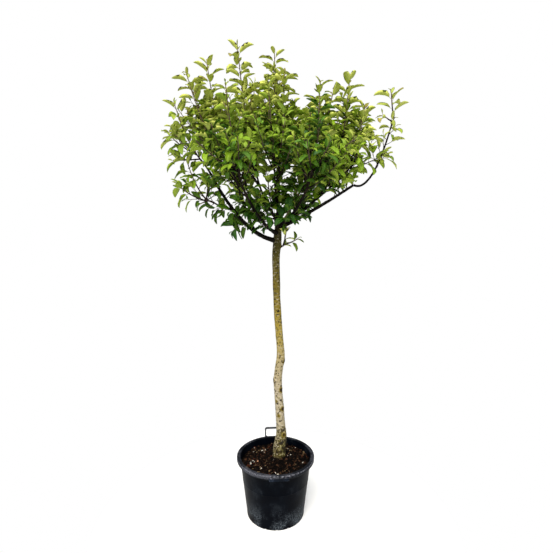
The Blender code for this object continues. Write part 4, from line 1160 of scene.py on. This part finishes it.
def mass_stem(name, bough, middle):
    """A curve from the bough's end, along its direction, to a point halfway to the mass's middle."""
    start, way = stem_start(name, bough)
    hub = (start + middle) / 2
    return bezier(start, start + way * STEM_BEND * np.linalg.norm(hub - start), hub, PATH_POINTS)


def envelope(tips, spot):
    """Height of the leading shoots around a spot: their tips weighted by 1 / distance squared."""
    tips = np.array(tips)
    weight = 1 / (np.sum((tips[:, :2] - spot[:2]) ** 2, axis=1) + 1e-4)
    return float(np.sum(tips[:, 2] * weight) / weight.sum())


def filling_shoots(owner, stem, middle, count, rng):
    """Upright shoots that end all over the inside of a mass's space, spread by the golden angle."""
    shoots = []
    tips = MASSES[owner][3]
    for k in range(count):
        turn = k * GOLDEN_ANGLE + owner
        reach = FILLING_REACH * math.sqrt((k + 0.6) / count)
        rise = rng.uniform(*FILLING_HEIGHTS)
        end = middle + np.array([reach * math.cos(turn), reach * math.sin(turn), rise])
        end[2] = min(end[2], envelope(tips, end) - FILLING_BELOW)
        root = point_along(stem, rng.uniform(0.05, 1.0))[0]
        level = FILLING_SIDES[0] < end[0] < FILLING_SIDES[1]
        if level and inside(owner, end) and end[2] > root[2] + 0.02:
            shoots.append((curve_up(root, end), FILLING_RADIUS, 1))
    return shoots


def side_twigs(owner, shoots, rng):
    """Side twigs along each shoot, turned on by the golden angle, that leave at an angle and rise."""
    twigs = []
    turn = rng.uniform(0, 2 * np.pi)
    for path, _, _ in shoots:
        for share in np.arange(*TWIG_SHARES, TWIG_PITCH / path_length(path)):
            turn += GOLDEN_ANGLE
            root, ahead = point_along(path, [share, share + 0.03])
            way = unit(ahead - root)
            around = around_way(way, turn, (0.0, 1.0, 0.2))
            reach = TWIG_LENGTH * rng.uniform(0.45, 1.3) * (1.15 - 0.6 * share)
            out = way * math.cos(TWIG_ANGLE) + around * math.sin(TWIG_ANGLE)
            end = root + out * reach + np.array([0, 0, TWIG_LIFT * reach])
            if inside(owner, end, 0.0):
                twigs.append((curve_up(root, end, 0.6, 0.35), TWIG_RADIUS, 2))
    return twigs


def mass_wood(owner, rng):
    """Stem, leading shoots, filling shoots and side twigs of a mass: (path, foot radius, order)."""
    name, bough, middle, tips, filling = MASSES[owner]
    middle = np.array(middle)
    stem = mass_stem(name, bough, middle)
    shares = [0.97] + [0.35 + 0.5 * k / len(tips) for k in range(1, len(tips))]
    shoots = [(curve_up(point_along(stem, share)[0], np.array(tip)), SHOOT_RADIUS, 1)
              for share, tip in zip(shares, tips)]
    if not filling:
        return [(stem, SHOOT_RADIUS, 1)] + shoots
    shoots += filling_shoots(owner, stem, middle, filling, rng)
    stem = (stem, STEM_RADIUS, 0)
    return [stem] + shoots + side_twigs(owner, [stem] + shoots, rng)


woods = [mass_wood(owner, np.random.default_rng(owner)) for owner in range(len(MASSES))]
print("shoots and twigs:", sum(len(wood) for wood in woods),
      "metres:", round(sum(path_length(path) for wood in woods for path, _, _ in wood), 1))

# %% [markdown]
# ## A leaf
# An apple leaf is oval with a drawn-out tip, folded a little along its midrib and
# arched so that its tip hangs. One blade is a closed surface: an upper grid and
# a lower one that share their edge. Its bend, fold, twist and wave are numbers,
# so numpy can shape every leaf of the tree in one step.

# %% Leaf shape
LEAF_LENGTH = 0.074
LEAF_WIDTH = 0.038
LEAF_THICK = 0.0007
LEAF_ROWS = np.array([0.08, 0.28, 0.50, 0.72, 0.90])
UPPER = np.array([-1.0, -0.5, 0.0, 0.5, 1.0])
LOWER = np.array([-0.5, 0.0, 0.5])
FOOT_POWER, TIP_POWER = 0.62, 0.80  # the outline's roundness at the stalk and at the tip
WIDEST = 0.437  # where along the blade it is widest
WAVE_HEIGHT, WAVES = 0.035, 1.4  # of the wavy edge: share of the length, and how many


def leaf_template():
    """Length share, side share and layer of each point of a leaf, and the faces of each layer."""
    rows = len(LEAF_ROWS)
    spots = [(0.0, 0.0, 0.0), (1.0, 0.0, 0.0)]
    spots += [(s, v, 0.0) for s in LEAF_ROWS for v in UPPER]
    spots += [(s, v, 1.0) for s in LEAF_ROWS for v in LOWER]
    upper = 2 + np.arange(rows * 5).reshape(rows, 5)
    inner = 2 + rows * 5 + np.arange(rows * 3).reshape(rows, 3)
    lower = np.column_stack([upper[:, 0], inner, upper[:, 4]])
    quads, ends = [], []
    for grid, face_up in ((upper, True), (lower, False)):
        four = np.stack([grid[:-1, :-1], grid[1:, :-1], grid[1:, 1:], grid[:-1, 1:]], -1).reshape(-1, 4)
        foot = np.stack([np.zeros(4, int), grid[0, :-1], grid[0, 1:]], -1)
        tip = np.stack([np.ones(4, int), grid[-1, 1:], grid[-1, :-1]], -1)
        three = np.concatenate([foot, tip])
        quads.append(four[:, ::-1] if face_up else four)
        ends.append(three[:, ::-1] if face_up else three)
    return np.array(spots), quads, ends


LEAF_SPOTS, LEAF_QUADS, LEAF_ENDS = leaf_template()


def leaf_points(root, along, up, length, width, bend, fold, twist, wave):
    """Blades: a midrib bent to an arc, sides raised by fold and turned by twist, and an edge in waves."""
    s, v, under = LEAF_SPOTS.T
    outline = s ** FOOT_POWER * (1 - s) ** TIP_POWER / (WIDEST ** FOOT_POWER * (1 - WIDEST) ** TIP_POWER)
    half = outline * width[:, None] / 2
    arc = bend[:, None] * s
    ahead = length[:, None] * np.sin(arc) / bend[:, None]
    drop = length[:, None] * (1 - np.cos(arc)) / bend[:, None]
    roll = twist[:, None] * s
    side = half * v
    lift = half * np.abs(v) ** 1.4 * np.sin(fold)[:, None]
    ripple = np.sin(2 * np.pi * WAVES * s + wave[:, None])
    lift = lift + WAVE_HEIGHT * length[:, None] * v ** 2 * outline * ripple
    lift = lift - under * LEAF_THICK * (1 - v ** 2 * 0.5)
    side, lift = side * np.cos(roll) - lift * np.sin(roll), side * np.sin(roll) + lift * np.cos(roll)
    forward = ahead + lift * np.sin(arc)
    rise = lift * np.cos(arc) - drop
    across = np.cross(along, up)
    return (root[:, None] + forward[..., None] * along[:, None] + side[..., None] * across[:, None]
            + rise[..., None] * up[:, None])


print("faces on a leaf:", sum(len(part) for part in LEAF_QUADS + LEAF_ENDS))

# %% [markdown]
# ## Leaf colours
# New leaves at the shoot tips are bronze and lime, those below them yellow-green,
# and the old ones deep green. The greens are also dealt out as painted light and
# shade: leaves high and far out in the crown take the lighter ones, low and inner
# ones the darker. Each colour is a material of its own with a faint mottle. Young
# leaves are soft and matte, old ones have a waxy skin that gives cool highlights,
# and the undersides are paler, downy and dull, their lime one being painted light
# that shines through the leaf.

# %% Leaf materials
SIDE_VEINS = 8


def leaf_skin(name, colour, mottle, vein, roughness, gloss):
    """A leaf's skin: two near greens, a paler midrib, and side veins as relief: sin(2 pi n (s - |v| / 2))."""
    material, tree, shader, place = new_material(name)
    patch = put(tree, "TexNoise", {"Vector": place, "Scale": per_metre(16), "Detail": 3.0})
    flesh = put(tree, "ValToRGB", (patch,), stops=((0.35, colour), (0.65, mottle)))
    blade = put(tree, "UVMap", (), uv_map="blade").outputs["UV"]
    ahead, beside, _ = put(tree, "SeparateXYZ", (blade,)).outputs
    off = put(tree, "Math", (beside, 0.5), operation="SUBTRACT")
    away = put(tree, "Math", (off,), operation="ABSOLUTE")
    rib = put(tree, "MapRange", (away, 0.015, 0.05, 0.5, 0.0))
    surface = put(tree, "Mix", {FACTOR: rib, FIRST: flesh, SECOND: linear(vein)}, data_type="RGBA")
    # real veins are 0.3 mm wide: here a few waves along the blade, coarse enough to catch the light
    slant = put(tree, "Math", (away, -0.5, ahead), operation="MULTIPLY_ADD")
    turn = put(tree, "Math", (slant, 2 * math.pi * SIDE_VEINS), operation="MULTIPLY")
    side_veins = put(tree, "Math", (turn,), operation="SINE")
    relief = put(tree, "Bump", {"Height": side_veins, "Distance": 0.00035})
    wire(tree, shader, {"Base Color": surface.outputs[BLENDED], "Roughness": roughness, "IOR": 1.42,
                        "Specular IOR Level": gloss, "Normal": relief})
    return material


# upper faces, light to dark: lit and shaded copies of one leaf, the light tones painted light from above and
# the dark tones painted shade
LEAF_TONES = (
    ("bronze_new_lit_leaf", "#8a8038", "#978e44", "#b8b068", 0.50, 0.16),
    ("lime_young_lit_leaf", "#97a443", "#a4b050", "#c8d084", 0.48, 0.16),
    ("yellow_green_leaf", "#889a2e", "#97a83c", "#bcc86e", 0.46, 0.18),
    ("fresh_green_leaf", "#728e24", "#829d30", "#a8ba60", 0.44, 0.22),
    ("mid_green_leaf", "#729316", "#82a320", "#a8bc54", 0.42, 0.22),
    ("deep_green_leaf", "#46700c", "#527e12", "#88a648", 0.38, 0.30),
    ("shade_green_leaf", "#23500a", "#2e5e10", "#64863a", 0.36, 0.34),
)
# undersides, dealt out by the same lightness: the lime one is painted light shining through the leaf, the
# shaded one painted shade
UNDER_TONES = (
    ("downy_lime_underside_lit_through", "#d4dc66", "#dee476", "#e8eca4", 0.80, 0.16),
    ("downy_green_underside", "#9fb83a", "#adc448", "#cad880", 0.80, 0.10),
    ("shaded_underside", "#4e701c", "#5a7e28", "#8ca05e", 0.80, 0.08),
)
leaf_materials = [leaf_skin(*tone) for tone in LEAF_TONES + UNDER_TONES]
# this year's shoots are downy and look grey-brown, older twigs are bare and dark, and stalks are green
shoot_bark = limb_bark("downy_shoot_bark", "#4c3c34", "#7b6759", 0.7)
twig_bark = limb_bark("brown_twig_bark", "#17100c", "#382c24", 0.7)
petiole_skin = limb_bark("green_leaf_stalk", "#70753a", "#8f8d50", 0.5)
print("leaf materials:", len(leaf_materials))

# %% [markdown]
# ## Setting the leaves
# Leaves stand round a shoot by the golden angle, steep and small at its tip,
# level and large lower down, each on a stalk. Weight bends them outwards, and
# they turn their faces to the light. A leaf that would leave its mass's space or
# touch a limb is skipped, as in the solids.

# %% Leaf places
LEAF_PITCH = 0.0156
SPRAY_PITCH = 0.0140  # on side twigs the leaves crowd together
LEAFY_SHARE = 0.72  # how much of a leading shoot bears leaves, from its tip down
SPRAY_SHARE = 0.75  # the same for a side twig
STALK_LENGTH = 0.015
LIMB_MARGIN = 0.006
YOUNG_LEAN, OLD_LEAN = 26, 60  # a leaf's angle to its shoot at the tip, and from the fifth leaf on
# lighter than their height says where shoots are young, and darker on the three front masses as painted shade
YOUTH_AND_SHADE = {"right_far": 0.10, "sprout": 1.3, "front_left": -0.22, "front_mid": -0.22, "front_right": -0.22}
# the size of a mass's leaves, where they are smaller than elsewhere
SMALL = {"front_left": 0.78, "front_mid": 0.78, "front_right": 0.78, "sprout": 0.75}
fork_heights = np.linspace(1.3, TRUNK_TOP, 40)
fork = trunk_at(fork_heights)
limb_points = np.concatenate(list(bough_paths.values()) + [np.column_stack([fork[:, :2], fork_heights])])
limb_radii = np.concatenate(list(bough_radii.values()) + [fork[:, 2]])


def leaves_along(path, leafy, pitch, rng):
    """Stalk foot, directions, age and size of the leaves down one shoot from its tip, as a dict of arrays."""
    count = max(2, int(leafy / pitch))
    number = np.arange(count)
    share = np.clip(1 - number * pitch / path_length(path), 0, 1)
    root = point_along(path, share)
    before, after = (point_along(path, np.clip(share + step, 0, 1)) for step in (-0.02, 0.02))
    way = unit(after - before)
    turn = rng.uniform(0, 2 * np.pi) + number * GOLDEN_ANGLE + rng.normal(0, 0.25, count)
    around = around_way(way, turn, (0.0, 1.0, 0.15))
    age = np.clip(number / 4.0, 0, 1)
    lean = np.radians(YOUNG_LEAN + (OLD_LEAN - YOUNG_LEAN) * age + rng.normal(0, 7, count))
    size = (0.34 + 0.66 * np.clip(number / 2.2, 0, 1)) * rng.uniform(0.86, 1.12, count)
    return {"root": root, "way": way, "around": around, "lean": lean, "age": age, "size": size,
            "tone": np.full(count, rng.normal(0, 0.14))}


def set_leaves(stand, rng):
    """Give each leaf its stalk, the frame of its blade, and the numbers that shape it."""
    count = len(stand["size"])
    lean = stand["lean"][:, None]
    steep = stand["way"] * np.cos(lean * 0.7) + stand["around"] * np.sin(lean * 0.7)
    along = stand["way"] * np.cos(lean) + stand["around"] * np.sin(lean)
    droop = stand["age"] * rng.uniform(-0.25, 0.15, count)
    along = unit(along - np.array([0, 0, 1]) * droop[:, None])
    face = 0.5 * stand["way"] + np.array([0, 0, 0.5]) + rng.normal(0, 0.18, (count, 3))
    up = unit(face - along * np.sum(face * along, -1)[:, None])
    stalk = STALK_LENGTH * stand["size"][:, None]
    elbow = stand["root"] + steep * stalk * 0.55
    foot = elbow + unit(steep + along) * stalk * 0.45
    stalk_path = np.stack([stand["root"], elbow, foot + along * 0.002], axis=1)
    full = 0.72 + 0.28 * stand["age"]
    stand.update(
        stalk=stalk_path, foot=foot, along=along, up=up,
        length=LEAF_LENGTH * stand["size"] * rng.uniform(0.94, 1.06, count),
        width=LEAF_WIDTH * stand["size"] * rng.uniform(0.84, 1.12, count) * full,
        bend=np.radians(rng.uniform(26, 68, count)),
        fold=np.radians(rng.uniform(18, 54, count)),
        twist=rng.normal(0, 0.35, count),
        wave=rng.uniform(0, 2 * np.pi, count))
    return stand


def keep_clear(owner, stand):
    """Drop the leaves that pass the solids' reach, leave their mass's space or touch a limb."""
    middle = stand["foot"] + stand["along"] * (stand["length"] * 0.5)[:, None]
    tip = stand["foot"] + stand["along"] * stand["length"][:, None]
    good = ((tip > cad_box[0]) & (tip < cad_box[1])).all(axis=1)
    if owner is not None:
        good &= inside(owner, middle)
    for spots in (middle, tip):
        apart = np.linalg.norm(spots[:, None] - limb_points[None], axis=-1) - limb_radii[None]
        good &= apart.min(axis=1) > LIMB_MARGIN
    return {key: value[good] for key, value in stand.items()}


def gather(stands):
    """Many dicts of arrays as one."""
    return {key: np.concatenate([stand[key] for stand in stands]) for key in stands[0]}


def mass_leaves(owner, wood, rng):
    """Every leaf of a mass: down its shoots, and in sprays on its side twigs."""
    name, *_, filling = MASSES[owner]
    habit = {1: (LEAFY_SHARE if filling else 1.0, LEAF_PITCH), 2: (SPRAY_SHARE, SPRAY_PITCH)}
    stand = gather([leaves_along(path, path_length(path) * habit[order][0], habit[order][1], rng)
                    for path, _, order in wood if order in habit])
    stand["tone"] += YOUTH_AND_SHADE.get(name, 0.0)
    stand["size"] *= SMALL.get(name, 1.0)
    return keep_clear(owner, set_leaves(stand, rng))


stands = [mass_leaves(owner, wood, np.random.default_rng(100 + owner)) for owner, wood in enumerate(woods)]
print("leaves:", sum(len(stand["size"]) for stand in stands))

# %% [markdown]
# ## Building twigs and leaves
# Twigs are tubes of a few sides, all of a mass in one piece, and its leaves are
# another. How light a leaf's colour is follows from how high and how far out in
# the crown it stands, which paints light on the high outer leaves and shade on
# the low inner ones, how near it is to the tip of its shoot, and a small chance
# that its whole spray shares.

# %% Build the foliage
# the crown's middle and reach, and the heights over which leaves go from painted shade low down to painted
# light at the top
CROWN_MIDDLE = np.array([0.01, 0.0, 1.80])
CROWN_REACH = np.array([0.56, 0.48, 0.50])
CROWN_LOW = 1.45
CROWN_HIGH = 2.20
TONE_STEPS = np.array([1.08, 0.90, 0.72, 0.56, 0.40, 0.24])
UNDER_STEPS = np.array([0.70, 0.38])
BLADE_KEYS = ("foot", "along", "up", "length", "width", "bend", "fold", "twist", "wave")
# sides, rings, and the share of its length past which it is downy, for a stem, a shoot and a twig
WOOD_DETAIL = ((8, 14, 1.0), (6, 13, 0.5), (5, 6, 0.5))
TIP_SHARE = 0.45  # how thick its tip is against its foot
STALK_RADII = (0.0012, 0.0009, 0.0008)


def leaf_lightness(stand, rng):
    """From about 0, old and in painted shade, to 1, new and in painted light: by height first, then reach,
    youth and chance.
    """
    spot = (stand["foot"] - CROWN_MIDDLE) / CROWN_REACH
    high = np.clip((stand["foot"][:, 2] - CROWN_LOW) / (CROWN_HIGH - CROWN_LOW), 0, 1)
    out = np.clip(np.linalg.norm(spot, axis=-1), 0, 1.1)
    young = 1 - stand["age"]
    chance = stand["tone"] + rng.normal(0, 0.11, len(high))
    return 0.96 * high ** 0.82 + 0.10 * out ** 2 + 0.06 * young + 0.02 + chance * (0.45 + 0.55 * high)


def build_leaves(name, stand, rng):
    """One piece of many leaves, each with an upper and a lower colour."""
    points = leaf_points(*(stand[key] for key in BLADE_KEYS))
    count, per_leaf = points.shape[:2]
    shift = (np.arange(count) * per_leaf)[:, None, None]
    light = leaf_lightness(stand, rng)
    over = (light[:, None] < TONE_STEPS).sum(axis=1)
    under = len(LEAF_TONES) + (light[:, None] < UNDER_STEPS).sum(axis=1)
    faces, slots = [], []
    for quad, end, tone in zip(LEAF_QUADS, LEAF_ENDS, (over, under)):
        for part in (quad, end):
            faces.append((part[None] + shift).reshape(-1, part.shape[1]))
            slots.append(np.repeat(tone, len(part)))
    uv = np.tile(np.stack([LEAF_SPOTS[:, 0], LEAF_SPOTS[:, 1] / 2 + 0.5], -1), (count, 1))
    return add_piece(name, points.reshape(-1, 3), faces, leaf_materials, slots=np.concatenate(slots), uv=uv)


def band_slots(tubes, rings, sides, change, lower, upper):
    """Slots for a skin's faces: lower on the rings up to the share change, and upper past it."""
    rows = np.where(np.arange(rings - 1) < change * (rings - 1), lower, upper)
    return [np.tile(np.repeat(rows, sides), tubes), np.tile(np.repeat([lower, upper], sides), tubes)]


def build_twigs(name, wood, stand):
    """One piece of a mass's wood and leaf stalks: brown below, downy and paler towards the tips."""
    parts, slots = [], []
    for order, (sides, rings, change) in enumerate(WOOD_DETAIL):
        chosen = [(path, radius) for path, radius, kind in wood if kind == order]
        if chosen:
            paths = np.stack([point_along(path, np.linspace(0, 1, rings)) for path, _ in chosen])
            radii = np.array([radius for _, radius in chosen])[:, None] * np.linspace(1.0, TIP_SHARE, rings)
            parts.append(skin(tube_rings(paths, radii, sides)))
            slots += band_slots(len(chosen), rings, sides, change, 0, 1)
    radii = np.tile(STALK_RADII, (len(stand["size"]), 1))
    parts.append(skin(tube_rings(stand["stalk"], radii, 4)))
    slots += band_slots(len(radii), len(STALK_RADII), 4, 1.0, 2, 2)
    return add_piece(name, *join(parts), [twig_bark, shoot_bark, petiole_skin], slots=np.concatenate(slots))


total = 0
for owner, (mass, wood, stand) in enumerate(zip(MASSES, woods, stands)):
    rng = np.random.default_rng(200 + owner)
    leaves = build_leaves("leaves_" + mass[0], stand, rng)
    twigs = build_twigs("twigs_" + mass[0], wood, stand)
    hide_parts("foliage_" + mass[0])
    for piece in (leaves, twigs):
        total += triangles(piece)
print("triangles of foliage:", total)

# %% [markdown]
# ## Spurs on the boughs
# Old wood carries short spurs with a rosette of leaves each. They fill the inside
# of the crown round the lower limbs, where the leaves are large, and dark by
# painted shade. The long bare limb on the right has none.

# %% Spurs
SPUR_PITCH = 0.024
SPUR_LENGTH = 0.032
BARE_FOOT = 0.25  # share of a bough, from its foot, that has no spurs
BARE = {"right_low": 0.74, "right_tip": 0.40, "left_low": 0.30}
# how much longer than usual a bough's spurs are
GROWTH = {"left_low": 1.4, "right_mid": 1.9, "right_outer": 1.8, "left_mid": 1.4, "back_right": 1.4,
          "back_left": 1.4}
# how far they turn down, or up where it is below zero
HANGING = {"left_low": 0.7, "left_under": 0.7, "left_mid": 0.2,
           "right_mid": -0.7, "right_low": -0.9, "right_outer": -0.5}


def make_spurs(rng):
    """Short twigs along the boughs, by the golden angle, past each bough's bare foot."""
    wood = []
    turn = 0.0
    for name, path in bough_paths.items():
        for share in np.arange(BARE.get(name, BARE_FOOT), 1.0, SPUR_PITCH / path_length(path)):
            turn += GOLDEN_ANGLE
            root, ahead = point_along(path, [share, min(share + 0.03, 1.0)])
            way = unit(ahead - root)
            around = around_way(way, turn, (0.1, 1.0, 0.2))
            reach = SPUR_LENGTH * GROWTH.get(name, 1.0) * rng.uniform(0.6, 1.8)
            sink = HANGING.get(name, 0.0)
            end = root + unit(around + way * 0.5) * reach + np.array([0, 0, (0.4 - 1.2 * sink) * reach])
            wood.append((curve_up(root, end, 0.6, 0.4), TWIG_RADIUS, 2))
    return wood


spur_rng = np.random.default_rng(7)
spur_wood = make_spurs(spur_rng)
spur_stands = [leaves_along(path, path_length(path), SPRAY_PITCH, spur_rng) for path, _, _ in spur_wood]
spur_stand = keep_clear(None, set_leaves(gather(spur_stands), spur_rng))
spur_leaves = build_leaves("leaves_on_spurs", spur_stand, spur_rng)
spur_twigs = build_twigs("twigs_on_spurs", spur_wood, spur_stand)
print("spurs:", len(spur_wood), "leaves:", len(spur_stand["size"]))
